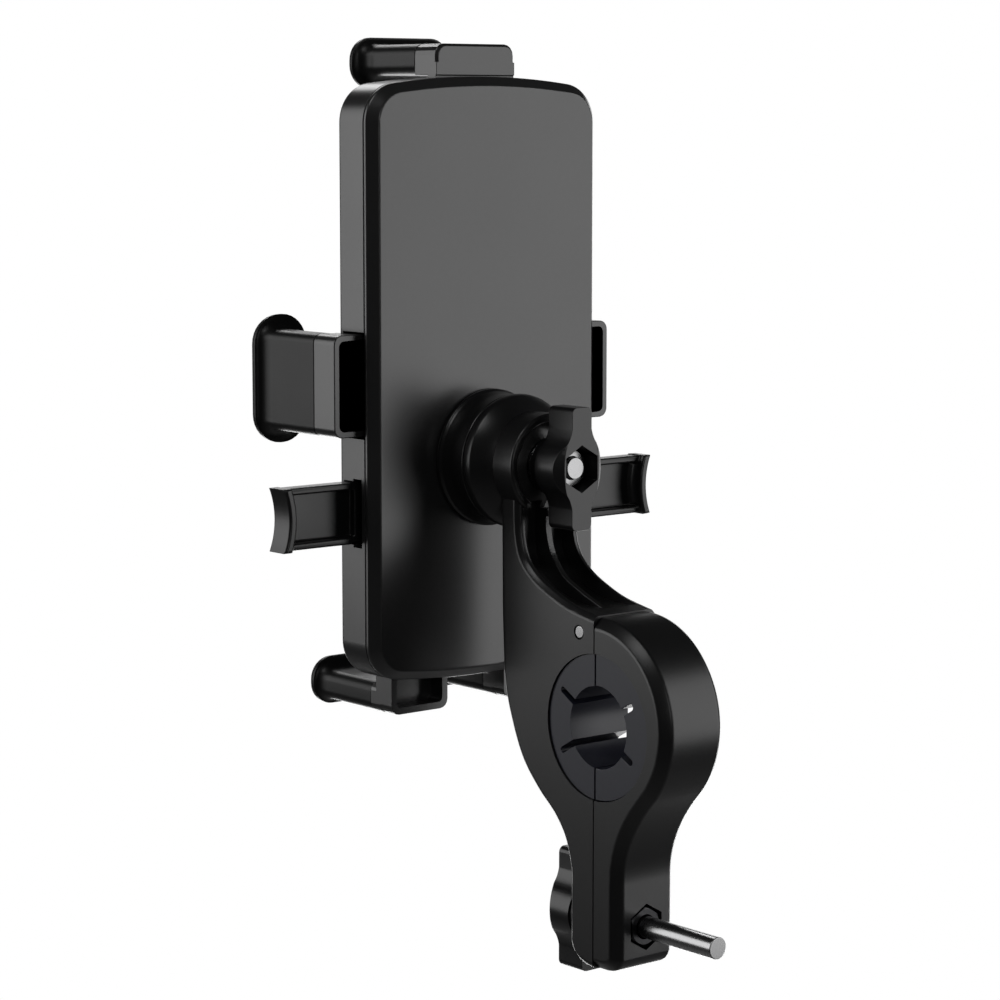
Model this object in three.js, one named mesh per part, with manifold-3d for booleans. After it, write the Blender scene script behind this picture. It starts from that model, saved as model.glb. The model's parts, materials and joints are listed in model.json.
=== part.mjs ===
// Handlebar phone mount: a hinged handlebar clamp with a curved arm, a lockable ball joint, and a
// spring-jaw phone holder. Millimetres, +Z up. The origin is the centre of the handlebar bore, the
// handlebar runs along X, and the phone faces -Y.
import * as THREE from "three";
import { mergeVertices } from "three/addons/utils/BufferGeometryUtils.js";
import Module from "manifold-3d";

const wasm = await Module();
wasm.setup();

// ---- Driving dimensions ----------------------------------------------------------------------
const GAP = 0.3; // clearance between pieces that touch on the real object
const FAR = 60; // longer than anything that a cutting tool has to pass through

const CLAMP_HALF_WIDTH = 9.2;
const PARTING_Y = -1; // the plane in which the two clamp halves meet
const HALF_GAP = 0.3;
const CLAMP_BORE_R = 16.6;
const INSERT_BORE_R = 9.35;
const FRONT_BEVEL = 1.6;
const REAR_BEVEL = 2.3;
const EAR_REAR_Y = 6.8;
const EAR_FRONT_Y = -9.2;
const EAR_BOTTOM_Z = -55.4;
const REAR_RING = { y: -0.7, z: 1.2, r: 23.3 }; // outer circle of the rear clamp half
const PIN = { y: -6, z: 20.8, r: 1.4 };
const KNUCKLE_R = 3.3;
const KNUCKLE_HALF_WIDTH = 3.6;
const CLAMP_BOLT_Z = -45.5;
const CLAMP_BOLT_END_Y = 30;

const BOLT_R = 2.5; // M5 bolts throughout
const HEX_FLATS = 8;
const HEX_HEAD = 3.5;
const NUT_HEIGHT = 4;

const AXIS_Z = 55.8; // height of the ball joint's axis, which runs along Y
const BALL_Y = -47; // centre that every spherical surface of the joint shares
const HEAD_R = 11.9; // round head on top of the arm
const HEAD_REAR_Y = -26.1;
const DOME_R = 18.2;
const DOME_WALL = 2.2;
const DOME_OPENING = 25.4; // half angle of the opening for the bolt, degrees
const BASE_R = 16;
const BASE_TOP = 7.2; // above the ball centre

const KNOB_LENGTH = 10.4;
const KNOB_HUB_R = 7.2;
const KNOB_SPAN = 28;
const WING_HALF_WIDTH = 2.9;
const WING_DEPTH = 8.2;
const WASHER = 0.8;

const HOLDER = { y: -48.6, z: 74 }; // middle of the holder's flat back
const BODY_HALF_WIDTH = 34;
const BODY_HALF_HEIGHT = 69.9;
const BODY_CORNER = 9;
const BODY_ARCH = 215; // radius of the slightly arched top and bottom edges
const BACK_BEVEL = 2.2;
const SEAM_DEPTH = 4.4; // from the back to the seam between the two shells
const BODY_DEPTH = 12.9;
const WALL = 1.9;
const RIM_DEPTH = 4.9; // from the back to the open rims of the jaws
const TRAY_FLOOR = 1.6;
const TRAY_DEPTH = BODY_DEPTH - WALL - GAP + 0.1 - RIM_DEPTH;
const BAND_DEPTH = BODY_DEPTH - 0.15; // the hard base of each jaw post ends here
const SLEEVE_END = 34.4;
const FLARE_START = 29.1;
const SIDE_OUTER = 41.2;
const SIDE_HALF_HEIGHT = 11.7;
const TOP_HALF_WIDTH = 11.65;
const FOOT = { inner: 8.64, outer: 25.3 };
const END_OUTER = 77.4; // outer faces of the top and bottom jaws, from the middle
const LEVER_Z = -29.4;
const LEVER_HALF_HEIGHT = 7.1;
const LEVER_TIP = 55.5;
const TRAY_START = 12; // a side jaw's tray begins this far from the middle
const NOTCH = { count: 5, first: 15, pitch: 2.4, depth: 0.9, length: 1.7 }; // for the pawls
const SIDE_RACK = { from: -18, to: 20, back: -5.6, front: -8.9 };
const HEIGHT_RACK = { back: -2.2, front: -4.3 };
const LEVER_ARM = { start: 14, front: -10.8, back: -7.9, recess: 1.5, rail: 1.6, recessStart: 33.5 };
const FINGER_HOLLOW_R = 18.5;
const PAD = { halfWidth: 24, halfHeight: 62, corner: 7, thickness: 1 };
const GROOVE = { count: 9, pitch: 12, halfLength: 18, halfWidth: 0.6, depth: 0.4 };
const PITCH_R = 4; // both pinions: eight teeth, module 1
const TOOTH = 0.8;
const SCREW = { x: 29, z: 58 };

// ---- Colours -----------------------------------------------------------------------------------
const finish = (color, roughness, metalness = 0) =>
  new THREE.MeshStandardMaterial({ color, roughness, metalness });
const SHELL = finish(0x4a4b4d, 0.5);
const GLOSS = finish(0x1b1b1c, 0.28);
const BLACK = finish(0x232324, 0.4);
const RUBBER = finish(0x1a1a1b, 0.7);
const INSERT = finish(0x2b2c30, 0.75);
const NYLON = finish(0xd8d6cc, 0.5);
const STEEL = finish(0xb9bbbd, 0.3, 1);
const DARK_STEEL = finish(0x3a3a3c, 0.4, 1);

// ---- Solids ------------------------------------------------------------------------------------
// A closed geometry as a manifold solid, whichever way round its faces were wound.
function solid(geometry) {
  const bare = geometry.clone();
  bare.deleteAttribute("normal");
  bare.deleteAttribute("uv");
  const merged = mergeVertices(bare, 1e-4);
  const corners = merged.index.array;
  const kept = [];
  for (let i = 0; i < corners.length; i += 3) {
    const [a, b, c] = corners.slice(i, i + 3);
    if (a !== b && b !== c && c !== a) kept.push(a, b, c);
  }
  const vertProperties = new Float32Array(merged.attributes.position.array);
  const build = (triVerts) =>
    new wasm.Manifold(new wasm.Mesh({ numProp: 3, vertProperties, triVerts }));
  const made = build(new Uint32Array(kept));
  return made.volume() > 0 ? made : build(new Uint32Array(kept).reverse());
}

const join = (...bodies) => bodies.reduce((sum, body) => sum.add(body));
const cut = (body, ...tools) => tools.reduce((rest, tool) => rest.subtract(tool), body);

const block = (x0, x1, y0, y1, z0, z1) =>
  solid(
    new THREE.BoxGeometry(x1 - x0, y1 - y0, z1 - z0).translate(
      (x0 + x1) / 2,
      (y0 + y1) / 2,
      (z0 + z1) / 2,
    ),
  );

const rodY = (r, y0, y1, x = 0, z = 0, sides = 20) =>
  solid(new THREE.CylinderGeometry(r, r, y1 - y0, sides).translate(x, (y0 + y1) / 2, z));

const rodX = (r, x0, x1, y = 0, z = 0, sides = 32) =>
  solid(
    new THREE.CylinderGeometry(r, r, x1 - x0, sides)
      .rotateZ(Math.PI / 2)
      .translate((x0 + x1) / 2, y, z),
  );

// A turned body about the Y axis, from a closed profile of [radius, y] points.
const turned = (profile, sides = 24) =>
  solid(
    new THREE.LatheGeometry(
      [...profile, profile[0]].map(([r, y]) => new THREE.Vector2(r, y)),
      sides,
    ),
  );

// Points on a circle about the ball centre as [radius, y], from one polar angle to another.
function meridian(r, from, to, steps = 8) {
  return Array.from({ length: steps + 1 }, (_, i) => {
    const angle = THREE.MathUtils.degToRad(from + ((to - from) * i) / steps);
    return [r * Math.sin(angle), r * Math.cos(angle)];
  });
}

// The outline's points, without the near-duplicates left where two curves meet.
function outlinePoints(shape, curveSegments) {
  const points = shape.getPoints(curveSegments);
  return points.filter((p, i) => p.distanceTo(points[(i + 1) % points.length]) > 0.01);
}

function extruded(shape, length, bevel, curveSegments) {
  const geometry = new THREE.ExtrudeGeometry(
    new THREE.Shape(outlinePoints(shape, curveSegments)),
    {
      depth: length - 2 * bevel,
      bevelEnabled: bevel > 0,
      bevelThickness: bevel,
      bevelSize: bevel,
      bevelOffset: -bevel,
      bevelSegments: 1,
    },
  );
  return geometry.translate(0, 0, bevel);
}

// An outline in (y, z), extruded along X.
function alongX(shape, x0, x1, bevel = 0, curveSegments = 5) {
  const basis = new THREE.Matrix4().makeBasis(
    new THREE.Vector3(0, 1, 0),
    new THREE.Vector3(0, 0, 1),
    new THREE.Vector3(1, 0, 0),
  );
  return solid(
    extruded(shape, x1 - x0, bevel, curveSegments).applyMatrix4(basis).translate(x0, 0, 0),
  );
}

// An outline in (x, z), extruded along Y.
function alongY(shape, y0, y1, bevel = 0, curveSegments = 3) {
  return solid(
    extruded(shape, y1 - y0, bevel, curveSegments).rotateX(Math.PI / 2).translate(0, y1, 0),
  );
}

// A body through a stack of outlines, each [y, points] with the same number of (x, z) points.
function lofted(sections) {
  const count = sections[0][1].length;
  const positions = sections.flatMap(([y, points]) => points.flatMap((p) => [p.x, y, p.y]));
  const index = [];
  for (let s = 0; s + 1 < sections.length; s++) {
    for (let i = 0; i < count; i++) {
      const a = s * count + i;
      const b = s * count + ((i + 1) % count);
      index.push(a, b, a + count, b, b + count, a + count);
    }
  }
  const last = (sections.length - 1) * count;
  for (const [a, b, c] of THREE.ShapeUtils.triangulateShape(sections[0][1], [])) {
    index.push(a, c, b);
  }
  for (const [a, b, c] of THREE.ShapeUtils.triangulateShape(sections.at(-1)[1], [])) {
    index.push(last + a, last + b, last + c);
  }
  return solid(
    new THREE.BufferGeometry()
      .setAttribute("position", new THREE.Float32BufferAttribute(positions, 3))
      .setIndex(index),
  );
}

// ---- Outlines ----------------------------------------------------------------------------------
function roundedRectangle(x0, x1, z0, z1, r) {
  const shape = new THREE.Shape();
  shape.absarc(x1 - r, z0 + r, r, -Math.PI / 2, 0);
  shape.absarc(x1 - r, z1 - r, r, 0, Math.PI / 2);
  shape.absarc(x0 + r, z1 - r, r, Math.PI / 2, Math.PI);
  shape.absarc(x0 + r, z0 + r, r, Math.PI, (3 * Math.PI) / 2);
  return shape;
}

const cornerPoints = (x0, x1, z0, z1, r) =>
  outlinePoints(roundedRectangle(x0, x1, z0, z1, r), 2);

function hexagon(flats, y = 0, z = 0) {
  const corner = flats / Math.sqrt(3);
  return new THREE.Shape(
    Array.from({ length: 6 }, (_, i) => {
      const angle = (i * Math.PI) / 3 + Math.PI / 2;
      return new THREE.Vector2(y + corner * Math.cos(angle), z + corner * Math.sin(angle));
    }),
  );
}

// The holder's outline: straight sides, round corners, and a slightly arched top and bottom.
function bodyOutline(inset = 0) {
  const half = BODY_HALF_WIDTH - inset;
  const r = BODY_CORNER - inset;
  const arch = BODY_ARCH - inset;
  const archZ = BODY_HALF_HEIGHT - inset - arch;
  const cornerX = half - r;
  const lean = Math.asin(cornerX / (arch - r));
  const cornerZ = archZ + (arch - r) * Math.cos(lean);
  const shape = new THREE.Shape();
  const right = Math.PI / 2;
  shape.absarc(cornerX, cornerZ, r, 0, right - lean);
  shape.absarc(0, archZ, arch, right - lean, right + lean);
  shape.absarc(-cornerX, cornerZ, r, right + lean, Math.PI);
  shape.absarc(-cornerX, -cornerZ, r, Math.PI, 3 * right - lean);
  shape.absarc(0, -archZ, arch, 3 * right - lean, 3 * right + lean);
  shape.absarc(cornerX, -cornerZ, r, 3 * right + lean, 4 * right);
  return shape;
}

const bodyPoints = (inset) => outlinePoints(bodyOutline(inset), 4);

// ---- The object and its groups -------------------------------------------------------------------
const mount = new THREE.Group();
const joint = new THREE.Group();
joint.position.set(0, BALL_Y, AXIS_Z);
const holder = new THREE.Group();
holder.position.set(0, HOLDER.y, HOLDER.z);
mount.add(joint, holder);

function node(name, body, material, parent = mount) {
  const { numProp, vertProperties, triVerts } = body.getMesh();
  const positions = new Float32Array(triVerts.length * 3);
  triVerts.forEach((v, i) =>
    positions.set(vertProperties.subarray(v * numProp, v * numProp + 3), i * 3),
  );
  const geometry = new THREE.BufferGeometry();
  geometry.setAttribute("position", new THREE.BufferAttribute(positions, 3));
  geometry.computeVertexNormals();
  const mesh = new THREE.Mesh(geometry, material);
  mesh.name = name;
  parent.add(mesh);
  return mesh;
}

// ---- Clamp and arm -----------------------------------------------------------------------------
// Side view of the arm: a straight front under the head, and a back that sweeps down to the clamp.
function armOutline() {
  const shape = new THREE.Shape();
  shape.moveTo(-27.3, 50);
  shape.lineTo(-33.8, 50);
  shape.lineTo(-33.6, 28);
  shape.splineThru(
    [[-32.9, 12], [-29.2, -4], [-18, -15]].map(([y, z]) => new THREE.Vector2(y, z)),
  );
  shape.lineTo(PARTING_Y + 3, -15);
  shape.lineTo(PARTING_Y + 3, 24.6);
  shape.lineTo(PARTING_Y, 24.9);
  shape.splineThru(
    [[-9.6, 26.6], [-16, 28.9], [-21.3, 31.6], [-25.2, 35.2], [-26.9, 40]].map(
      ([y, z]) => new THREE.Vector2(y, z),
    ),
  );
  shape.lineTo(-27.3, 46);
  return shape;
}

// Side view of the front clamp half: the lower front of the ring, and the front ear.
function frontClampOutline() {
  const shape = new THREE.Shape();
  shape.moveTo(PARTING_Y + 4, 22);
  shape.lineTo(-20, 22);
  shape.lineTo(-33.6, 20);
  shape.splineThru(
    [[-32.6, 6], [-30, -3.2], [-26.1, -11.4], [-20.6, -17.6], [-14.9, -22.4], [-11.2, -27.4]].map(
      ([y, z]) => new THREE.Vector2(y, z),
    ),
  );
  shape.quadraticCurveTo(EAR_FRONT_Y, -30.6, EAR_FRONT_Y, -36);
  shape.lineTo(EAR_FRONT_Y, EAR_BOTTOM_Z + 5.5);
  shape.quadraticCurveTo(-8.6, EAR_BOTTOM_Z + 0.6, -1.5, EAR_BOTTOM_Z);
  shape.lineTo(PARTING_Y + 4, EAR_BOTTOM_Z);
  return shape;
}

// Side view of the rear clamp half: a round back that runs into the rear ear.
function rearClampOutline() {
  const { y, z, r } = REAR_RING;
  const leave = -0.72; // angle on the circle where the fillet to the ear starts, radians
  const shape = new THREE.Shape();
  shape.moveTo(PARTING_Y - 4, z + r);
  shape.lineTo(PARTING_Y - 4, EAR_BOTTOM_Z);
  shape.lineTo(2, EAR_BOTTOM_Z);
  shape.quadraticCurveTo(EAR_REAR_Y - 0.6, EAR_BOTTOM_Z + 0.3, EAR_REAR_Y, EAR_BOTTOM_Z + 3.4);
  shape.lineTo(EAR_REAR_Y, -35);
  shape.quadraticCurveTo(EAR_REAR_Y, -24.4, y + r * Math.cos(leave), z + r * Math.sin(leave));
  shape.absarc(y, z, r, leave, Math.PI / 2);
  return shape;
}

// The two pockets behind the arm's web, with a rib between them.
function armPockets() {
  const shape = new THREE.Shape();
  shape.moveTo(-31, 44);
  shape.lineTo(-31, 38);
  shape.quadraticCurveTo(-30.6, 27, -12, 25.2);
  shape.lineTo(-6.5, 25.3);
  shape.lineTo(-6.5, 44);
  const flange = 2.6;
  const inner = CLAMP_HALF_WIDTH - flange;
  const rib = join(
    block(-0.8, 0.8, -FAR, FAR, 0, 41.6),
    rodY(0.8, -FAR, FAR, 0, 41.6, 16),
  );
  return cut(alongX(shape, -inner, inner), rib);
}

function armHead() {
  const seat = DOME_R + GAP;
  const dish = seat + 1.6;
  const bossR = 7;
  const rim = 1.9;
  const wallR = HEAD_R - rim;
  const at = (r, ball) => BALL_Y + Math.sqrt(ball * ball - r * r);
  const rear = HEAD_REAR_Y;
  const blank = turned(
    [[0, BALL_Y + 8], [HEAD_R, BALL_Y + 8], [HEAD_R, rear - 0.5], [HEAD_R - 0.5, rear], [0, rear]],
    36,
  );
  const recess = turned([
    [bossR, rear - 1.3],
    [bossR, at(bossR, dish)],
    [(bossR + wallR) / 2, at((bossR + wallR) / 2, dish)],
    [wallR, at(wallR, dish)],
    [wallR, rear - 0.4],
    [wallR + 0.4, rear],
    [wallR + 0.4, rear + 1],
    [0, rear + 1],
    [0, rear - 1.3],
  ]);
  return { blank: up(blank), recess: up(recess) };
}

const up = (body) => body.translate([0, 0, AXIS_Z]);

const ballTool = (r) => up(turned([[0, 0], ...meridian(r, 80, 0, 9)], 36).translate([0, BALL_Y, 0]));

const hexTool = (flats, y0, y1, z) => alongY(hexagon(flats, 0, z), y0, y1);

function armAndFrontClamp() {
  const half = CLAMP_HALF_WIDTH;
  const head = armHead();
  const bars = join(
    alongX(armOutline(), -half, half, 1),
    alongX(frontClampOutline(), -half, half, FRONT_BEVEL),
    head.blank,
  );
  return cut(
    bars,
    block(-FAR, FAR, PARTING_Y - HALF_GAP, FAR, -FAR, 2 * FAR),
    rodX(CLAMP_BORE_R, -FAR, FAR, 0, 0, 64),
    armPockets(),
    ballTool(DOME_R + GAP),
    head.recess,
    rodY(BOLT_R + 0.35, -FAR, 0, 0, AXIS_Z),
    rodY(BOLT_R + 0.5, -FAR, 0, 0, CLAMP_BOLT_Z),
    rodX(PIN.r + 0.25, -FAR, FAR, PIN.y, PIN.z),
    rodX(KNUCKLE_R + GAP, -KNUCKLE_HALF_WIDTH - GAP, KNUCKLE_HALF_WIDTH + GAP, PIN.y, PIN.z),
    knuckleNeck(GAP),
  );
}

function knuckleNeck(clearance) {
  const half = KNUCKLE_HALF_WIDTH + clearance;
  const reach = KNUCKLE_R - 0.4 + clearance;
  return block(-half, half, PIN.y, PARTING_Y + 4, PIN.z - reach, PIN.z + reach);
}

function rearClamp() {
  const half = CLAMP_HALF_WIDTH;
  const shell = cut(
    alongX(rearClampOutline(), -half, half, REAR_BEVEL, 14),
    block(-FAR, FAR, -FAR, PARTING_Y + HALF_GAP, -2 * FAR, FAR),
    rodX(CLAMP_BORE_R, -FAR, FAR, 0, 0, 64),
  );
  const knuckle = join(
    rodX(KNUCKLE_R, -KNUCKLE_HALF_WIDTH, KNUCKLE_HALF_WIDTH, PIN.y, PIN.z),
    knuckleNeck(0),
  );
  return cut(
    join(shell, knuckle),
    rodX(PIN.r + 0.25, -FAR, FAR, PIN.y, PIN.z),
    rodY(BOLT_R + 0.8, -FAR, FAR, 0, CLAMP_BOLT_Z),
    hexTool(HEX_FLATS + 1.3, EAR_REAR_Y - NUT_HEIGHT - 0.4, FAR, CLAMP_BOLT_Z),
  );
}

// Half of the rubber insert, split by two slits that let it close on a thinner bar.
function insertHalf(side) {
  const half = CLAMP_HALF_WIDTH + 0.1;
  const ring = cut(
    rodX(CLAMP_BORE_R - GAP, -half, half, 0, 0, 64),
    rodX(INSERT_BORE_R, -FAR, FAR, 0, 0, 48),
  );
  const keep = side < 0
    ? block(-FAR, FAR, -FAR, PARTING_Y - 0.2, -FAR, FAR)
    : block(-FAR, FAR, PARTING_Y + 0.2, FAR, -FAR, FAR);
  const slits = [-30, 30].map((degrees) => {
    const reach = side < 0 ? 13.7 : 12.3;
    const slit = join(
      block(-FAR, FAR, 0, reach, -0.65, 0.65),
      rodX(0.65, -FAR, FAR, reach, 0, 12),
    );
    return slit.rotate([side < 0 ? 180 - degrees : degrees, 0, 0]);
  });
  return cut(ring.intersect(keep), ...slits);
}

node("arm_and_front_clamp", armAndFrontClamp(), BLACK);
node("rear_clamp", rearClamp(), BLACK);
node(
  "hinge_pin",
  rodX(PIN.r, -CLAMP_HALF_WIDTH + 0.3, CLAMP_HALF_WIDTH - 0.1, PIN.y, PIN.z, 24),
  STEEL,
);
node("front_insert", insertHalf(-1), INSERT);
node("rear_insert", insertHalf(1), INSERT);

// ---- Knobs, bolts, nuts and washers ---------------------------------------------------------------
// The wing knob's face: a round hub between two narrow wings, with hollow fillets where they meet.
function knobOutline() {
  const w = WING_HALF_WIDTH;
  const end = KNOB_SPAN / 2;
  const r = KNOB_HUB_R;
  const meet = THREE.MathUtils.degToRad(42); // where the fillet leaves the hub, from the wing's side
  const [mx, mz] = [r * Math.cos(meet), r * Math.sin(meet)];
  const shape = new THREE.Shape();
  const corner = 1.4;
  const right = Math.PI / 2;
  shape.absarc(0, 0, r, -meet, meet);
  shape.quadraticCurveTo(w + 0.5, mz + 1.6, w, mz + 4.4);
  shape.absarc(w - corner, end - corner, corner, 0, right);
  shape.absarc(corner - w, end - corner, corner, right, 2 * right);
  shape.lineTo(-w, mz + 4.4);
  shape.quadraticCurveTo(-w - 0.5, mz + 1.6, -mx, mz);
  shape.absarc(0, 0, r, Math.PI - meet, Math.PI + meet);
  shape.quadraticCurveTo(-w - 0.5, -mz - 1.6, -w, -mz - 4.4);
  shape.absarc(corner - w, corner - end, corner, 2 * right, 3 * right);
  shape.absarc(w - corner, corner - end, corner, 3 * right, 4 * right);
  shape.lineTo(w, -mz - 4.4);
  shape.quadraticCurveTo(w + 0.5, -mz - 1.6, mx, -mz);
  return shape;
}

// A wing knob along +Y, its inner end at y = 0, with a hexagonal pocket in its outer end.
function wingKnob() {
  const pocketFloor = 2.6;
  const wings = alongY(knobOutline(), KNOB_LENGTH - WING_DEPTH, KNOB_LENGTH, 0.8, 3);
  const hub = rodY(KNOB_HUB_R - 0.5, 0, KNOB_LENGTH - 1, 0, 0, 32);
  return cut(
    join(wings, hub),
    rodY(BOLT_R + 0.35, -FAR, FAR),
    hexTool(HEX_FLATS + 1.3, pocketFloor, FAR, 0),
  );
}

function nut() {
  const chamfer = turned([
    [0, 0],
    [HEX_FLATS / 2, 0],
    [HEX_FLATS * 0.6, 0.45],
    [HEX_FLATS * 0.6, NUT_HEIGHT - 0.45],
    [HEX_FLATS / 2, NUT_HEIGHT],
    [0, NUT_HEIGHT],
  ]);
  return cut(hexTool(HEX_FLATS, 0, NUT_HEIGHT, 0).intersect(chamfer), rodY(BOLT_R + 0.45, -1, FAR));
}

// A hexagon-head bolt along +Y: the head lies below y = 0 and the shank ends in a chamfer.
function hexBolt(length) {
  const shank = turned([
    [0, -0.2],
    [BOLT_R, -0.2],
    [BOLT_R, length - 0.5],
    [BOLT_R - 0.5, length],
    [0, length],
  ]);
  return join(shank, hexTool(HEX_FLATS, -HEX_HEAD, 0, 0));
}

const ring = (inner, outer, thickness) =>
  cut(rodY(outer, 0, thickness, 0, 0, 28), rodY(inner, -1, thickness + 1));

const upperKnob = new THREE.Group();
upperKnob.position.set(0, HEAD_REAR_Y + 0.1, AXIS_Z);
const lowerKnob = new THREE.Group();
lowerKnob.position.set(0, EAR_FRONT_Y - GAP, CLAMP_BOLT_Z);
lowerKnob.rotation.z = Math.PI;
mount.add(upperKnob, lowerKnob);

const POCKET_SEAT = 2.6 + GAP; // the nut and the bolt head both rest just above the pocket floor
node("upper_knob", wingKnob(), GLOSS, upperKnob);
node("upper_knob_nut", nut().translate([0, POCKET_SEAT, 0]), STEEL, upperKnob);
node(
  "thrust_washer",
  ring(BOLT_R + 0.4, 6.4, WASHER).translate([0, -WASHER - GAP, 0]),
  STEEL,
  upperKnob,
);
node("lower_knob", wingKnob(), GLOSS, lowerKnob);

const clampBolt = node(
  "clamp_bolt",
  hexBolt(CLAMP_BOLT_END_Y - EAR_FRONT_Y + GAP + POCKET_SEAT - GAP / 2),
  STEEL,
);
clampBolt.position.set(0, EAR_FRONT_Y - GAP - POCKET_SEAT + GAP / 2, CLAMP_BOLT_Z);
const clampNut = node("clamp_nut", nut(), DARK_STEEL);
clampNut.position.set(0, EAR_REAR_Y - NUT_HEIGHT - 0.1, CLAMP_BOLT_Z);

// ---- Ball joint, about its own centre ---------------------------------------------------------------
const BASE_FLOOR = HOLDER.y - BALL_Y + GAP;
const CAP_R = DOME_R - DOME_WALL - 1.6 - GAP + 0.1;
const BOLT_SEAT = 9.4;

function swivelBase() {
  const cavityR = 13;
  const cavityFloor = 2;
  const flare = new THREE.SplineCurve(
    [[BASE_R - 0.5, 0.1], [14.9, 2.6], [14.9, 5], [15.2, BASE_TOP]].map(
      ([r, y]) => new THREE.Vector2(r, y),
    ),
  );
  const body = turned(
    [
      [0, BASE_FLOOR],
      [BASE_R, BASE_FLOOR],
      [BASE_R, -0.4],
      ...flare.getPoints(5).map((p) => [p.x, p.y]),
      [cavityR, BASE_TOP],
      [cavityR, cavityFloor],
      [0, cavityFloor],
    ],
    36,
  );
  return cut(body, ...screwPlaces().map(([x, z]) => rodY(1.35, -FAR, cavityFloor - 0.8, x, z, 12)));
}

// The three screws that hold the swivel base to the rear cover.
const screwPlaces = () =>
  [30, 150, 270].map((degrees) => {
    const angle = THREE.MathUtils.degToRad(degrees);
    return [11 * Math.cos(angle), 11 * Math.sin(angle)];
  });

const socketDome = () =>
  turned(
    [
      [15.3, BASE_TOP + GAP],
      [15.5, BASE_TOP + 1.5],
      ...meridian(DOME_R, 57.5, DOME_OPENING, 6),
      ...meridian(DOME_R - DOME_WALL, DOME_OPENING, 53.5, 4),
      [12.9, BASE_TOP + GAP],
    ],
    36,
  );

const frictionLiner = () => {
  const outer = DOME_R - DOME_WALL - GAP;
  return turned([...meridian(outer, 22, 38, 4), ...meridian(outer - 1, 38, 22, 4)], 24);
};

function ballCap() {
  const body = turned([
    [0, 5.6],
    [6, 5.6],
    [9, 7],
    ...meridian(CAP_R, 44, 0, 6),
  ]);
  return cut(body, hexTool(HEX_FLATS + 0.6, 0, BOLT_SEAT + 0.2, 0), rodY(BOLT_R + 0.35, 0, FAR));
}

node("swivel_base", swivelBase(), BLACK, joint);
node("socket_dome", socketDome(), GLOSS, joint);
node("friction_liner", frictionLiner(), NYLON, joint);
node("ball_cap", ballCap(), DARK_STEEL, joint);
node("ball_bolt", hexBolt(28.6 - BOLT_SEAT).translate([0, BOLT_SEAT, 0]), STEEL, joint);

// ---- Holder shells -----------------------------------------------------------------------------
// Depths below run from the holder's back towards the phone, so they are subtracted from y.
const bosses = (r, deep, shallow) =>
  [-1, 1].flatMap((sx) =>
    [-1, 1].map((sz) => rodY(r, -deep, -shallow, sx * SCREW.x, sz * SCREW.z, 14)),
  );

function rearCover() {
  const outer = lofted([
    [-SEAM_DEPTH, bodyPoints(0)],
    [-BACK_BEVEL, bodyPoints(0)],
    [0, bodyPoints(BACK_BEVEL - 0.2)],
  ]);
  const hollow = alongY(bodyOutline(WALL), -FAR, -1.8);
  const offset = AXIS_Z - HOLDER.z;
  return cut(
    join(cut(outer, hollow), ...bosses(2.7, BODY_DEPTH - WALL - GAP, 1.5)),
    ...bosses(1.3, FAR, 3.2),
    ...screwPlaces().map(([x, z]) => rodY(1.45, -FAR, FAR, x, z + offset, 12)),
  );
}

function frontShell() {
  const outer = lofted([
    [-BODY_DEPTH, bodyPoints(1)],
    [-BODY_DEPTH + 0.3, bodyPoints(0.35)],
    [-BODY_DEPTH + 1, bodyPoints(0)],
    [-SEAM_DEPTH - GAP, bodyPoints(0)],
  ]);
  const floor = BODY_DEPTH - WALL + 0.1;
  const tray = cut(outer, alongY(bodyOutline(WALL), -floor, FAR));
  const sideSlot = SIDE_HALF_HEIGHT + 0.5;
  const leverSlot = LEVER_HALF_HEIGHT + 0.8;
  return cut(
    tray,
    block(-FAR, FAR, -floor, FAR, -sideSlot, sideSlot),
    block(-FAR, FAR, -floor, FAR, LEVER_Z - leverSlot, LEVER_Z + leverSlot),
    block(-TOP_HALF_WIDTH - 0.4, TOP_HALF_WIDTH + 0.4, -8.4, FAR, 0, 2 * FAR),
    ...[-1, 1].map((side) => {
      const [a, b] = [side * (FOOT.inner - 0.4), side * (FOOT.outer + 0.4)];
      return block(Math.min(a, b), Math.max(a, b), -floor, FAR, -2 * FAR, 0);
    }),
    ...bosses(1.5, FAR, 0),
    ...bosses(2.7, FAR, BODY_DEPTH - 1.2),
  );
}

// The soft pad that the back of the phone rests on, with shallow cross grooves.
function phonePad() {
  const { halfWidth: w, halfHeight: h, corner, thickness } = PAD;
  const back = -BODY_DEPTH - GAP;
  const front = back - thickness;
  const grooves = Array.from({ length: GROOVE.count }, (_, i) => {
    const z = (i - (GROOVE.count - 1) / 2) * GROOVE.pitch + GROOVE.pitch / 2;
    const [low, high] = [z - GROOVE.halfWidth, z + GROOVE.halfWidth];
    return block(-GROOVE.halfLength, GROOVE.halfLength, front - 1, front + GROOVE.depth, low, high);
  });
  return cut(alongY(roundedRectangle(-w, w, -h, h, corner), front, back), ...grooves);
}

// A self-tapping screw along +Y, with a cross recess in its head, which starts at y = 0.
function screw(length, headR, headHeight) {
  const body = turned([
    [0, 0],
    [headR, 0],
    [headR, headHeight * 0.5],
    [1.1, headHeight],
    [1.1, length - 0.8],
    [0.3, length],
    [0, length],
  ], 12);
  return cut(
    body,
    block(-0.9, 0.9, -1, 0.6, -0.25, 0.25),
    block(-0.25, 0.25, -1, 0.6, -0.9, 0.9),
  );
}

node("rear_cover", rearCover(), SHELL, holder);
node("front_shell", frontShell(), SHELL, holder);
node("phone_pad", phonePad(), RUBBER, holder);

[[-1, 1], [1, 1], [-1, -1], [1, -1]].forEach(([sx, sz], i) => {
  const placed = node(`shell_screw_${i + 1}`, screw(8.6, 2.4, 1), DARK_STEEL, holder);
  placed.position.set(sx * SCREW.x, -BODY_DEPTH + 0.1, sz * SCREW.z);
});

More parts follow.
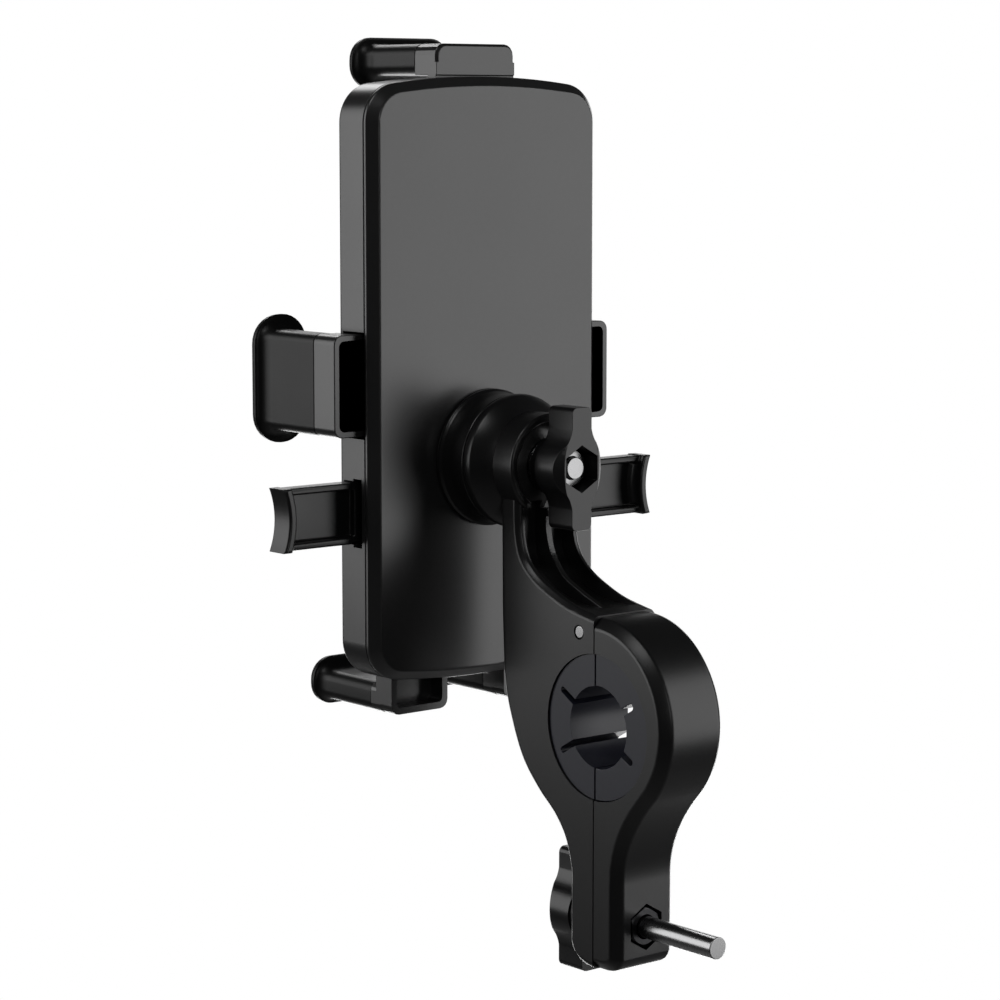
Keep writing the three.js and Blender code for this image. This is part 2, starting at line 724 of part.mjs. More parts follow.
screwPlaces().forEach(([x, z], i) => {
  const placed = node(`base_screw_${i + 1}`, screw(4.6, 1.9, 1.2), DARK_STEEL, holder);
  placed.position.set(x, -3.3, z + AXIS_Z - HOLDER.z);
});

// ---- Racks and pinions ----------------------------------------------------------------------------
// A straight rack: teeth point to -z from a bar whose back is at the given height above the pinion.
function rackOutline(x0, x1) {
  const root = PITCH_R + 1.1;
  const tip = PITCH_R - TOOTH;
  const pitch = (2 * Math.PI * PITCH_R) / 8;
  const shape = new THREE.Shape();
  shape.moveTo(x1, root + 1.9);
  shape.lineTo(x0, root + 1.9);
  shape.lineTo(x0, root);
  const first = Math.ceil((x0 + 1) / pitch - 0.5);
  const last = Math.floor((x1 - 1) / pitch - 0.5);
  for (let i = first; i <= last; i++) {
    const middle = (i + 0.5) * pitch;
    shape.lineTo(middle - 0.85, root);
    shape.lineTo(middle - 0.3, tip);
    shape.lineTo(middle + 0.3, tip);
    shape.lineTo(middle + 0.85, root);
  }
  shape.lineTo(x1, root);
  return shape;
}

function pinion(y0, y1) {
  const shape = new THREE.Shape();
  for (let i = 0; i < 8; i++) {
    for (const [turn, r] of [[-0.27, 3], [-0.07, 4.75], [0.07, 4.75], [0.27, 3]]) {
      const angle = (i * Math.PI) / 4 + turn;
      const point = [r * Math.sin(angle), r * Math.cos(angle)];
      if (i === 0 && turn === -0.27) shape.moveTo(...point);
      else shape.lineTo(...point);
    }
  }
  return cut(alongY(shape, y0, y1), rodY(1.8, -FAR, FAR, 0, 0, 20));
}

node("side_pinion", pinion(SIDE_RACK.front, SIDE_RACK.back), NYLON, holder);
node("height_pinion", pinion(HEIGHT_RACK.front, HEIGHT_RACK.back), NYLON, holder);
node("pinion_axle", rodY(1.5, -10.6, -2.1, 0, 0, 20), STEEL, holder);

// ---- Jaws ----------------------------------------------------------------------------------------
// A rubber sleeve over a jaw post. box holds the post's outer faces; flare says how far each lip face
// stands out from them; core is how much thinner the post is inside the sleeve.
function sleeve(box, flare, round, lipRound) {
  const section = (depth, t) => [
    -depth,
    cornerPoints(
      box.x0 - flare.x0 * t,
      box.x1 + flare.x1 * t,
      box.z0 - flare.z0 * t,
      box.z1 + flare.z1 * t,
      round + (lipRound - round) * t,
    ),
  ];
  const flareDepth = SLEEVE_END - 1.5 - FLARE_START;
  const sections = [section(SLEEVE_END, 0.86), section(SLEEVE_END - 0.5, 0.98)];
  for (let i = 6; i >= 0; i--) {
    const angle = (i / 6) * (Math.PI / 2);
    sections.push(section(FLARE_START + flareDepth * Math.sin(angle), 1 - Math.cos(angle)));
  }
  sections.push(section(BAND_DEPTH + GAP, 0));
  return cut(lofted(sections), postCore(box, CORE_INSET - GAP, CORE_END + GAP));
}

const CORE_INSET = 1.5;
const CORE_END = 31;

const postCore = (box, inset, end) =>
  alongY(
    roundedRectangle(box.x0 + inset, box.x1 - inset, box.z0 + inset, box.z1 - inset, 0.8),
    -end,
    -BAND_DEPTH + 0.5,
    0,
    2,
  );

const postBand = (box, shallow) =>
  alongY(roundedRectangle(box.x0, box.x1, box.z0, box.z1, 2), -BAND_DEPTH, -shallow, 0, 2);

const SIDE_POST = {
  x0: BODY_HALF_WIDTH + 0.35,
  x1: SIDE_OUTER,
  z0: -SIDE_HALF_HEIGHT,
  z1: SIDE_HALF_HEIGHT,
};

// The jaw on the +X side: an open tray that slides in the body, a post, and a rack to the pinion.
function sideJaw() {
  const { x1, z0, z1 } = SIDE_POST;
  const trayEnd = RIM_DEPTH + TRAY_DEPTH;
  const floor = trayEnd - TRAY_FLOOR;
  const tray = cut(
    alongY(roundedRectangle(8, x1, z0, z1, 2.2), -trayEnd, -RIM_DEPTH, 0, 2),
    alongY(roundedRectangle(4, x1 - 1.7, z0 + 1.6, z1 - 1.6, 1.2), -floor, FAR, 0, 2),
    block(0, TRAY_START, -FAR, FAR, -FAR, FAR),
    ...Array.from({ length: NOTCH.count }, (_, i) => ratchetNotches(NOTCH.first + i * NOTCH.pitch)),
  );
  return join(tray, postBand(SIDE_POST, floor), postCore(SIDE_POST, CORE_INSET, CORE_END));
}

// Saw teeth for the pawl, cut in both long edges of the tray.
function ratchetNotches(x) {
  const edge = SIDE_HALF_HEIGHT;
  const notch = new THREE.Shape([
    new THREE.Vector2(x, edge - NOTCH.depth),
    new THREE.Vector2(x + NOTCH.length, edge + 1),
    new THREE.Vector2(x, edge + 1),
  ]);
  const upper = alongY(notch, -FAR, FAR);
  return join(upper, upper.rotate([180, 0, 0]));
}

function turnedOver(mesh) {
  mesh.rotation.y = Math.PI;
  return mesh;
}

const SIDE_FLARE = { x0: 5.85, x1: 2.1, z0: 3.35, z1: 3.35 };
node("left_jaw", sideJaw(), SHELL, holder);
node("left_sleeve", sleeve(SIDE_POST, SIDE_FLARE, 2, 7), RUBBER, holder);
turnedOver(node("right_jaw", sideJaw(), SHELL, holder));
turnedOver(node("right_sleeve", sleeve(SIDE_POST, SIDE_FLARE, 2, 7), RUBBER, holder));

// The toothed bar lies on the tray's floor and reaches past the pinion.
const sideRack = () =>
  alongY(rackOutline(SIDE_RACK.from, SIDE_RACK.to), SIDE_RACK.front, SIDE_RACK.back);
node("left_rack", sideRack(), SHELL, holder);
turnedOver(node("right_rack", sideRack(), SHELL, holder));

const TOP_POST = { x0: -TOP_HALF_WIDTH, x1: TOP_HALF_WIDTH, z0: 70.2, z1: END_OUTER };
const END_FLARE = { inner: 3, outer: 1.8 };

function topJaw() {
  const { x0, x1, z0, z1 } = TOP_POST;
  const post = lofted([
    [-BAND_DEPTH, cornerPoints(x0, x1, z0, z1, 2.6)],
    [-5.3, cornerPoints(x0, x1, z0, z1, 2.6)],
    [-4.7, cornerPoints(x0 + 0.6, x1 - 0.6, z0, z1 - 0.6, 2.2)],
  ]);
  const heel = block(x0, x1, -BAND_DEPTH, -4.7, z0, z0 + 3);
  const slide = block(x0, x1, -8, -5, 20, z0 + 1);
  const flatRack = alongY(rackOutline(-40, 19), HEIGHT_RACK.front, HEIGHT_RACK.back);
  const rack = flatRack.rotate([0, 90, 0]);
  const bridge = block(5.2, 6.9, -5.4, -2.3, 24, 38);
  return join(post, heel, slide, rack, bridge, postCore(TOP_POST, CORE_INSET, CORE_END));
}

node("top_jaw", topJaw(), SHELL, holder);
node(
  "top_sleeve",
  sleeve(TOP_POST, { x0: 3, x1: 3, z0: END_FLARE.inner, z1: END_FLARE.outer }, 2.6, 5.5),
  RUBBER,
  holder,
);

const footPost = (side) => {
  const [a, b] = [side * FOOT.inner, side * FOOT.outer];
  return { x0: Math.min(a, b), x1: Math.max(a, b), z0: -END_OUTER, z1: -70.4 };
};

// Two feet on one carriage: each is an open tray that passes up through the floor of the body.
function bottomJaw() {
  const trayEnd = RIM_DEPTH + TRAY_DEPTH;
  const floor = trayEnd - TRAY_FLOOR;
  const feet = [-1, 1].map((side) => {
    const post = footPost(side);
    const tray = cut(
      alongY(roundedRectangle(post.x0, post.x1, post.z0, -48, 2.2), -trayEnd, -RIM_DEPTH, 0, 2),
      alongY(
        roundedRectangle(post.x0 + 1.6, post.x1 - 1.6, post.z0 + 1.6, -50, 1.2),
        -floor,
        FAR,
        0,
        2,
      ),
    );
    return join(tray, postBand(post, floor), postCore(post, CORE_INSET, CORE_END));
  });
  const bar = block(-FOOT.outer, FOOT.outer, -7.6, -RIM_DEPTH, -50, -38);
  const flatRack = alongY(rackOutline(-45, 19), HEIGHT_RACK.front, HEIGHT_RACK.back);
  const rack = flatRack.rotate([0, -90, 0]);
  const bridge = block(-6.9, -5.2, -5.4, -2.3, -46, -38);
  return join(...feet, bar, rack, bridge);
}

node("bottom_jaw", bottomJaw(), SHELL, holder);
[[1, "left"], [-1, "right"]].forEach(([side, word]) => {
  const sideways = side > 0 ? { x0: 1.2, x1: 1.8 } : { x0: 1.8, x1: 1.2 };
  node(
    `bottom_sleeve_${word}`,
    sleeve(footPost(side), { ...sideways, z0: END_FLARE.outer - 0.3, z1: END_FLARE.inner }, 2.2, 5.4),
    RUBBER,
    holder,
  );
});

// ---- Release levers, pawls and springs ------------------------------------------------------------
// The lever on the +X side, about its own middle height: a recessed arm and a hollow finger pad.
function lever() {
  const h = LEVER_HALF_HEIGHT;
  const { start, front, back, recess, rail, recessStart } = LEVER_ARM;
  const arm = cut(
    block(start, LEVER_TIP - 1.8, front, back, -h, h),
    block(recessStart, LEVER_TIP - 2, back - recess, 0, rail - h, h - rail),
    block(start - 1, recessStart - 2.5, -FAR, FAR, h - rail, FAR),
    block(start - 1, recessStart - 2.5, -FAR, FAR, -FAR, rail - h),
  );
  const hollowMiddle = LEVER_TIP - 1.4 + FINGER_HOLLOW_R;
  const hollow = (r) => rodY(r, -FAR, FAR, hollowMiddle, 0, 96);
  const pad = cut(
    alongY(roundedRectangle(LEVER_TIP - 3.6, LEVER_TIP, -h - 0.1, h + 0.1, 1), -11, -5.6, 0, 3),
    hollow(FINGER_HOLLOW_R),
    cut(block(LEVER_TIP - 6, LEVER_TIP, -FAR, FAR, -2 * h, 2 * h), hollow(FINGER_HOLLOW_R + 2)),
  );
  return join(arm, pad);
}

function pawl() {
  const notch = SIDE_HALF_HEIGHT;
  const tooth = new THREE.Shape([
    new THREE.Vector2(22, -notch - 0.9),
    new THREE.Vector2(22.3, -notch - 0.15),
    new THREE.Vector2(23.4, -notch - 0.9),
  ]);
  return join(
    block(19.5, 25.5, -10.6, -7.9, -21.9, -notch - 0.7),
    alongY(tooth, -10.6, -7.9),
  );
}

// A coil spring along X, as one wire of round section on a helix.
class Helix extends THREE.Curve {
  constructor(radius, length, turns) {
    super();
    Object.assign(this, { radius, length, turns });
  }

  getPoint(t, target = new THREE.Vector3()) {
    const angle = t * this.turns * 2 * Math.PI;
    return target.set(
      t * this.length,
      this.radius * Math.cos(angle),
      this.radius * Math.sin(angle),
    );
  }
}

function spring(radius, wire, length, turns) {
  const section = new THREE.Shape();
  section.absarc(0, 0, wire / 2, 0, 2 * Math.PI);
  return solid(
    new THREE.ExtrudeGeometry(section, {
      extrudePath: new Helix(radius, length, turns),
      steps: turns * 7,
      curveSegments: 3,
      bevelEnabled: false,
    }),
  );
}

const leverSides = [new THREE.Group(), turnedOver(new THREE.Group())];
leverSides.forEach((side) => side.position.set(0, 0, LEVER_Z));
holder.add(...leverSides);
["left", "right"].forEach((word, i) => {
  node(`${word}_lever`, lever(), BLACK, leverSides[i]);
  const leverSpring = node(`${word}_lever_spring`, spring(1.6, 0.6, 8, 5), STEEL, leverSides[i]);
  leverSpring.position.set(5.2, -9.2, 0);
  const jawSpring = node(`${word}_jaw_spring`, spring(1.5, 0.6, 17, 7), STEEL, holder);
  jawSpring.position.set(i ? -26 : 9, -7.1, 0);
});
node("left_pawl", pawl(), NYLON, holder);
node("right_pawl", pawl().mirror([1, 0, 0]), NYLON, holder);

export default mount;
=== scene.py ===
"""The looks of a handlebar phone mount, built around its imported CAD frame. Lengths in the outlines are in
millimetres in the object's own axes: the handlebar runs along X, the phone faces -Y, and +Z is up."""
import json
import math

import bmesh
import bpy
from mathutils import Matrix, Vector


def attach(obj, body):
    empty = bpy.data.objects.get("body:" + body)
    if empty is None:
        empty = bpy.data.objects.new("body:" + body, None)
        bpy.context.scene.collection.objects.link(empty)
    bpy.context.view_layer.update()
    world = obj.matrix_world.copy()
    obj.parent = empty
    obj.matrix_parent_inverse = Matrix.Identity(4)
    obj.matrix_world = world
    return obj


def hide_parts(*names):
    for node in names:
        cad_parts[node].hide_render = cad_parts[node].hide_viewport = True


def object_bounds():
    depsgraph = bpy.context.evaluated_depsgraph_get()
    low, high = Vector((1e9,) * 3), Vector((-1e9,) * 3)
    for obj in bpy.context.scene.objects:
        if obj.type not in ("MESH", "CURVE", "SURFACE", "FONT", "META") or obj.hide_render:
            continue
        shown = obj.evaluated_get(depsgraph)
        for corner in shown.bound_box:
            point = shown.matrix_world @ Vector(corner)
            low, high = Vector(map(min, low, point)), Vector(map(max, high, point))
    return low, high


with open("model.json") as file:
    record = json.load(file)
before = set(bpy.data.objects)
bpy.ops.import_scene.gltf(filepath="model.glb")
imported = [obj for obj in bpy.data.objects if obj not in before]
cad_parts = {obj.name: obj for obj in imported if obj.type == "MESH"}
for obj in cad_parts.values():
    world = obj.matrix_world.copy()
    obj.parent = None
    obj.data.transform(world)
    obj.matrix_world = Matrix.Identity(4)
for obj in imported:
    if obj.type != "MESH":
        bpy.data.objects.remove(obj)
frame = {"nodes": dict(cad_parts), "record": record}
CAD_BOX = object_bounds()
MM = 0.001
FAR = 90

# The sizes that several pieces share. Depths run forwards from the holder's back face.
AXIS_Z = 55.8
BALL_Y = -47
DOME_R = 18.2
HEAD_R = 11.9
HEAD_REAR_Y = -26.1
BACK_Y = -48.6
MIDDLE_Z = 74
CLAMP_HALF = 9.2
BORE_R = 16.6
CLAMP_BOLT_Z = -45.5
EAR_FRONT_Y = -9.2
EAR_REAR_Y = 6.8
EAR_BOTTOM_Z = -55.4
BOLT_R = 2.5
NUT_FLATS = 8.0
POCKET_FLATS = 9.3
HINGE_Y, HINGE_Z = -6, 20.8
HINGE_WAY_R = 1.65
GAP = 0.3
BODY_DEPTH = 12.9
SEAM_DEPTH = 3.1
BRIDGE_DEPTH = 4.4
WALL = 1.9
RIM_DEPTH = 4.9
TRAY_END = 10.8
SLEEVE_END = 34.4
FLARE_START = 29.1


# ---- Outlines ------------------------------------------------------------------------------------
def arc(x, y, r, start, end, steps):
    """Points on a circle, between two angles in degrees."""
    angles = (math.radians(start + (end - start) * i / steps) for i in range(steps + 1))
    return [(x + r * math.cos(a), y + r * math.sin(a)) for a in angles]


def bend(a, b, c, steps=10):
    """Points on a quadratic curve from a to c, pulled towards b."""
    def mix(t, i):
        return (1 - t) ** 2 * a[i] + 2 * t * (1 - t) * b[i] + t * t * c[i]
    return [(mix(i / steps, 0), mix(i / steps, 1)) for i in range(steps + 1)]


def smooth(points, steps):
    """A Catmull-Rom curve through the points."""
    padded = [points[0], *points, points[-1]]
    out = []
    for p0, p1, p2, p3 in zip(padded, padded[1:], padded[2:], padded[3:]):
        for i in range(steps):
            t = i / steps
            out.append(tuple(
                0.5 * (2 * b + (c - a) * t + (2 * a - 5 * b + 4 * c - d) * t * t
                       + (3 * b - a - 3 * c + d) * t ** 3)
                for a, b, c, d in zip(p0, p1, p2, p3)))
    return [*out, points[-1]]


def tidy(points):
    """The loop without points that repeat the one before."""
    kept = []
    for p in points:
        if not kept or math.dist(p, kept[-1]) > 0.01:
            kept.append(p)
    if math.dist(kept[0], kept[-1]) < 0.01:
        kept.pop()
    return kept


def rounded(x0, x1, z0, z1, r, steps):
    """A rectangle with rounded corners."""
    return tidy([
        *arc(x1 - r, z0 + r, r, -90, 0, steps), *arc(x1 - r, z1 - r, r, 0, 90, steps),
        *arc(x0 + r, z1 - r, r, 90, 180, steps), *arc(x0 + r, z0 + r, r, 180, 270, steps)])


def hexagon(flats, z):
    """A hexagon with this width across its flats, centred on (0, z)."""
    corner = flats / math.sqrt(3)
    return [(corner * math.cos(math.radians(60 * i + 90)),
             z + corner * math.sin(math.radians(60 * i + 90))) for i in range(6)]


def body_outline(within):
    """The holder's outline about its middle, moved inwards: round corners, slightly arched top and bottom."""
    half, r, arch = 34 - within, 9 - within, 215 - within
    corner_x = half - r
    arch_z = 69.9 - within - arch
    lean = math.degrees(math.asin(corner_x / (arch - r)))
    corner_z = arch_z + (arch - r) * math.cos(math.radians(lean))
    return tidy([
        *arc(corner_x, corner_z, r, 0, 90 - lean, 14),
        *arc(0, arch_z, arch, 90 - lean, 90 + lean, 20),
        *arc(-corner_x, corner_z, r, 90 + lean, 180, 14),
        *arc(-corner_x, -corner_z, r, 180, 270 - lean, 14),
        *arc(0, -arch_z, arch, 270 - lean, 270 + lean, 20),
        *arc(corner_x, -corner_z, r, 270 + lean, 360, 14)])


# ---- Meshes --------------------------------------------------------------------------------------
def piece_from(bm, name):
    """The finished mesh, scaled from millimetres to metres, as an object."""
    bmesh.ops.remove_doubles(bm, verts=bm.verts, dist=0.0005)
    bmesh.ops.recalc_face_normals(bm, faces=bm.faces)
    bmesh.ops.scale(bm, vec=(MM, MM, MM), verts=bm.verts)
    mesh = bpy.data.meshes.new(name)
    bm.to_mesh(mesh)
    bm.free()
    piece = bpy.data.objects.new(name, mesh)
    bpy.context.scene.collection.objects.link(piece)
    return piece


def loft(name, rings):
    """A body with flat ends through rings of 3D points that all have the same count."""
    bm = bmesh.new()
    loops = [[bm.verts.new(p) for p in ring] for ring in rings]
    for low, high in zip(loops, loops[1:]):
        for i in range(len(low)):
            j = (i + 1) % len(low)
            bm.faces.new((low[i], low[j], high[j], high[i]))
    bm.faces.new(loops[0])
    bm.faces.new(loops[-1])
    return piece_from(bm, name)


def along_y(name, outline, y0, y1):
    return loft(name, [[(x, y, z) for x, z in outline] for y in (y0, y1)])


def along_x(name, outline, x0, x1):
    return loft(name, [[(x, y, z) for y, z in outline] for x in (x0, x1)])


def inset(outline, distance):
    """The outline moved inwards by a distance, with mitred corners."""
    count = len(outline)
    area = sum(outline[i][0] * outline[(i + 1) % count][1] - outline[(i + 1) % count][0] * outline[i][1]
               for i in range(count))
    side = 1 if area > 0 else -1
    out = []
    for i in range(count):
        (ax, ay), (bx, by), (cx, cy) = outline[i - 1], outline[i], outline[(i + 1) % count]
        first, second = math.hypot(bx - ax, by - ay), math.hypot(cx - bx, cy - by)
        n0 = (-(by - ay) / first * side, (bx - ax) / first * side)
        n1 = (-(cy - by) / second * side, (cx - bx) / second * side)
        share = distance / max(0.35, 1 + n0[0] * n1[0] + n0[1] * n1[1])
        out.append((bx + (n0[0] + n1[0]) * share, by + (n0[1] + n1[1]) * share))
    return out


def edged(name, outline, x0, x1, width, softness):
    """A plate along X whose two rims have a 45 degree edge, softened where it meets the faces."""
    turn = [(width + softness, 0.0), (width + 0.4 * softness, 0.06 * softness),
            (width - 0.3 * softness, 0.3 * softness), (0.3 * softness, width - 0.3 * softness),
            (0.06 * softness, width + 0.4 * softness), (0.0, width + softness)]
    steps = [(i, x0 + d) for i, d in turn] + [(i, x1 - d) for i, d in reversed(turn)]
    return loft(name, [[(x, y, z) for y, z in inset(outline, i)] for i, x in steps])


def round_edged(name, outline, y0, y1, r):
    """An outline (x, z) from y0 to y1 with quarter-round edges."""
    steps = 4
    turns = [math.radians(90 * i / steps) for i in range(steps + 1)]
    low = [(r * (1 - math.sin(a)), y0 + r * (1 - math.cos(a))) for a in turns]
    high = [(d, y0 + y1 - y) for d, y in reversed(low)]
    return loft(name, [[(x, y, z) for x, z in inset(outline, d)] for d, y in low + high])


def turned(name, profile, x, z, sides):
    """A body turned about a line along Y, from a closed profile of (radius, y) points."""
    bm = bmesh.new()
    rows = []
    for r, y in profile:
        count = 1 if r < 0.001 else sides
        rows.append([bm.verts.new((x + r * math.sin(2 * math.pi * i / sides), y,
                                   z + r * math.cos(2 * math.pi * i / sides))) for i in range(count)])
    for low, high in zip(rows, rows[1:] + rows[:1]):
        if len(low) == 1 and len(high) == 1:
            continue
        for i in range(sides):
            j = (i + 1) % sides
            corners = [low[i % len(low)], low[j % len(low)], high[j % len(high)], high[i % len(high)]]
            bm.faces.new(list(dict.fromkeys(corners)))
    return piece_from(bm, name)


def rod_x(name, r, x0, x1, y, z, sides):
    ring = [(y + r * math.cos(2 * math.pi * i / sides), z + r * math.sin(2 * math.pi * i / sides))
            for i in range(sides)]
    return along_x(name, ring, x0, x1)


def rod_y(name, r, y0, y1, x, z, sides=64):
    return turned(name, [(0, y0), (r, y0), (r, y1), (0, y1)], x, z, sides)


def box(name, x0, x1, y0, y1, z0, z1):
    return along_y(name, [(x0, z0), (x1, z0), (x1, z1), (x0, z1)], y0, y1)


def bake(piece):
    """Turns the piece's modifiers into its mesh."""
    graph = bpy.context.evaluated_depsgraph_get()
    mesh = bpy.data.meshes.new_from_object(piece.evaluated_get(graph))
    old = piece.data
    piece.modifiers.clear()
    piece.data = mesh
    bpy.data.meshes.remove(old)
    return piece


def combine(piece, operation, *tools):
    """Applies each tool to the piece in turn and removes the tool."""
    for tool in tools:
        cutter = piece.modifiers.new("combine", "BOOLEAN")
        cutter.operation = operation
        cutter.solver = "MANIFOLD"
        cutter.object = tool
        bake(piece)
        bpy.data.objects.remove(tool)
    return piece


def cut(piece, *tools):
    return combine(piece, "DIFFERENCE", *tools)


def join(piece, *tools):
    return combine(piece, "UNION", *tools)


def bevel(piece, width, segments, angle=50):
    """Bevels every edge sharper than the angle, with a width in millimetres."""
    modifier = piece.modifiers.new("bevel", "BEVEL")
    modifier.width = width * MM
    modifier.segments = segments
    modifier.limit_method = "ANGLE"
    modifier.angle_limit = math.radians(angle)
    modifier.use_clamp_overlap = False
    modifier.miter_outer = "MITER_ARC"
    return bake(piece)


def finish(piece, width, angle=30):
    """Soft edges of this width where the surface turns by more than the angle, smooth shading and
    weighted normals. A width of 0 leaves the edges as they are."""
    mesh = piece.data
    bm = bmesh.new()
    bm.from_mesh(mesh)
    bmesh.ops.dissolve_degenerate(bm, dist=0.00001, edges=bm.edges)
    bmesh.ops.dissolve_limit(bm, angle_limit=math.radians(0.4), verts=bm.verts, edges=bm.edges)
    bm.to_mesh(mesh)
    bm.free()
    if width:
        modifier = piece.modifiers.new("edge", "BEVEL")
        modifier.width = width * MM
        modifier.segments = 3
        modifier.limit_method = "ANGLE"
        modifier.angle_limit = math.radians(angle)
        modifier.use_clamp_overlap = True
        modifier.harden_normals = True
        bake(piece)
    for face in piece.data.polygons:
        face.use_smooth = True
    weighted = piece.modifiers.new("normals", "WEIGHTED_NORMAL")
    weighted.keep_sharp = True
    weighted.weight = 60
    piece.data.set_sharp_from_angle(angle=math.radians(angle + 8))
    return bake(piece)


def place(piece, body, slot, look, *nodes):
    """Puts the finished piece on its body, in its look, in place of its CAD nodes."""
    piece.data.materials.clear()
    piece.data.materials.append(look)
    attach(piece, body)
    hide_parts(*nodes)


# ---- Looks ---------------------------------------------------------------------------------------
def moulded(name, colour, roughness, specular, grain=900.0, depth=0.012, mottling=0.08):
    """Moulded plastic or rubber: a fine grain in the surface and slow changes of gloss."""
    look = bpy.data.materials.new(name)
    look.use_nodes = True
    nodes, links = look.node_tree.nodes, look.node_tree.links
    shader = nodes["Principled BSDF"]
    shader.inputs["Specular IOR Level"].default_value = specular
    place_in = nodes.new("ShaderNodeTexCoord")

    def noise(scale, detail):
        node = nodes.new("ShaderNodeTexNoise")
        node.inputs["Scale"].default_value = scale
        node.inputs["Detail"].default_value = detail
        links.new(place_in.outputs["Object"], node.inputs["Vector"])
        return node

    fine = noise(grain, 3.0)
    slow = noise(38.0, 4.0)
    gloss = nodes.new("ShaderNodeMapRange")
    gloss.inputs["To Min"].default_value = roughness - mottling
    gloss.inputs["To Max"].default_value = roughness + mottling
    links.new(slow.outputs["Fac"], gloss.inputs["Value"])
    links.new(gloss.outputs["Result"], shader.inputs["Roughness"])
    shade = nodes.new("ShaderNodeMixRGB")
    shade.inputs["Color1"].default_value = (*[c * 0.85 for c in colour], 1)
    shade.inputs["Color2"].default_value = (*[min(1, c * 1.15) for c in colour], 1)
    links.new(fine.outputs["Fac"], shade.inputs["Fac"])
    links.new(shade.outputs["Color"], shader.inputs["Base Color"])
    bump = nodes.new("ShaderNodeBump")
    bump.inputs["Strength"].default_value = 0.5
    bump.inputs["Distance"].default_value = depth * MM
    links.new(fine.outputs["Fac"], bump.inputs["Height"])
    links.new(bump.outputs["Normal"], shader.inputs["Normal"])
    return look


def metal(name, colour, roughness, stretch=(1, 1, 1)):
    """Plated steel with fine lines drawn across it by the turning tool."""
    look = bpy.data.materials.new(name)
    look.use_nodes = True
    nodes, links = look.node_tree.nodes, look.node_tree.links
    shader = nodes["Principled BSDF"]
    shader.inputs["Metallic"].default_value = 1.0
    place_in = nodes.new("ShaderNodeTexCoord")
    mapping = nodes.new("ShaderNodeMapping")
    mapping.inputs["Scale"].default_value = stretch
    links.new(place_in.outputs["Object"], mapping.inputs["Vector"])
    lines = nodes.new("ShaderNodeTexNoise")
    lines.inputs["Scale"].default_value = 500.0
    lines.inputs["Detail"].default_value = 4.0
    links.new(mapping.outputs["Vector"], lines.inputs["Vector"])
    gloss = nodes.new("ShaderNodeMapRange")
    gloss.inputs["To Min"].default_value = roughness * 0.7
    gloss.inputs["To Max"].default_value = roughness * 1.3
    links.new(lines.outputs["Fac"], gloss.inputs["Value"])
    links.new(gloss.outputs["Result"], shader.inputs["Roughness"])
    shade = nodes.new("ShaderNodeMixRGB")
    shade.inputs["Color1"].default_value = (*[c * 0.85 for c in colour], 1)
    shade.inputs["Color2"].default_value = (*colour, 1)
    links.new(lines.outputs["Fac"], shade.inputs["Fac"])
    links.new(shade.outputs["Color"], shader.inputs["Base Color"])
    bump = nodes.new("ShaderNodeBump")
    bump.inputs["Strength"].default_value = 0.15
    bump.inputs["Distance"].default_value = 0.01 * MM
    links.new(lines.outputs["Fac"], bump.inputs["Height"])
    links.new(bump.outputs["Normal"], shader.inputs["Normal"])
    return look


SHELL = moulded("shell_plastic", (0.019, 0.019, 0.0195), 0.3, 0.75, mottling=0.03)
SATIN = moulded("satin_plastic", (0.010, 0.010, 0.0104), 0.32, 0.52, mottling=0.03)
GLOSS = moulded("gloss_plastic", (0.009, 0.009, 0.0095), 0.3, 0.5,
                grain=600.0, depth=0.006, mottling=0.03)
RUBBER = moulded("smooth_rubber", (0.0065, 0.0065, 0.0065), 0.38, 0.3,
                 grain=1400.0, depth=0.015, mottling=0.05)
INSERT = moulded("insert_rubber", (0.0135, 0.0145, 0.025), 0.38, 0.5, grain=1100.0, mottling=0.05)
NYLON = moulded("natural_nylon", (0.62, 0.6, 0.55), 0.45, 0.5)
STEEL = metal("bright_steel", (0.34, 0.34, 0.343), 0.26, (1, 14, 1))
DARK_STEEL = metal("black_steel", (0.05, 0.05, 0.052), 0.35)
LOOKS = {
    "shell": SHELL, "gloss_black": GLOSS, "satin_black": SATIN, "rubber": RUBBER,
    "insert_rubber": INSERT, "nylon": NYLON, "bright_steel": STEEL, "black_steel": DARK_STEEL}


# ---- Clamp and arm -------------------------------------------------------------------------------
def bore():
    """The tool that cuts the clamp's bore."""
    return rod_x("ring", BORE_R, -FAR, FAR, 0, 0, 128)


def hinge_way():
    """The tool that cuts the hinge pin's hole."""
    return rod_x("pin_way", HINGE_WAY_R, -FAR, FAR, HINGE_Y, HINGE_Z, 32)


def arm_outline():
    """Side view of the whole front moulding: arm, front half of the clamp, and front ear."""
    front = smooth([(-33.7, 30), (-33.5, 20), (-32.6, 6), (-30, -3.2), (-26.1, -11.4), (-20.6, -17.6),
                    (-14.9, -22.4), (-11.2, -27.4), (EAR_FRONT_Y, -34), (EAR_FRONT_Y, -38)], 8)
    foot = bend((EAR_FRONT_Y, EAR_BOTTOM_Z + 5.5), (-8.6, EAR_BOTTOM_Z + 0.6), (-1.5, EAR_BOTTOM_Z))
    back = smooth([(-1, 24.9), (-9.6, 26.6), (-16, 28.9), (-21.3, 31.6), (-25.2, 35.2), (-26.9, 40),
                   (-27.3, 46), (-27.3, 50)], 10)
    return tidy([(-33.8, 50), *front, *foot, (3, EAR_BOTTOM_Z), (3, 24.3), *back])


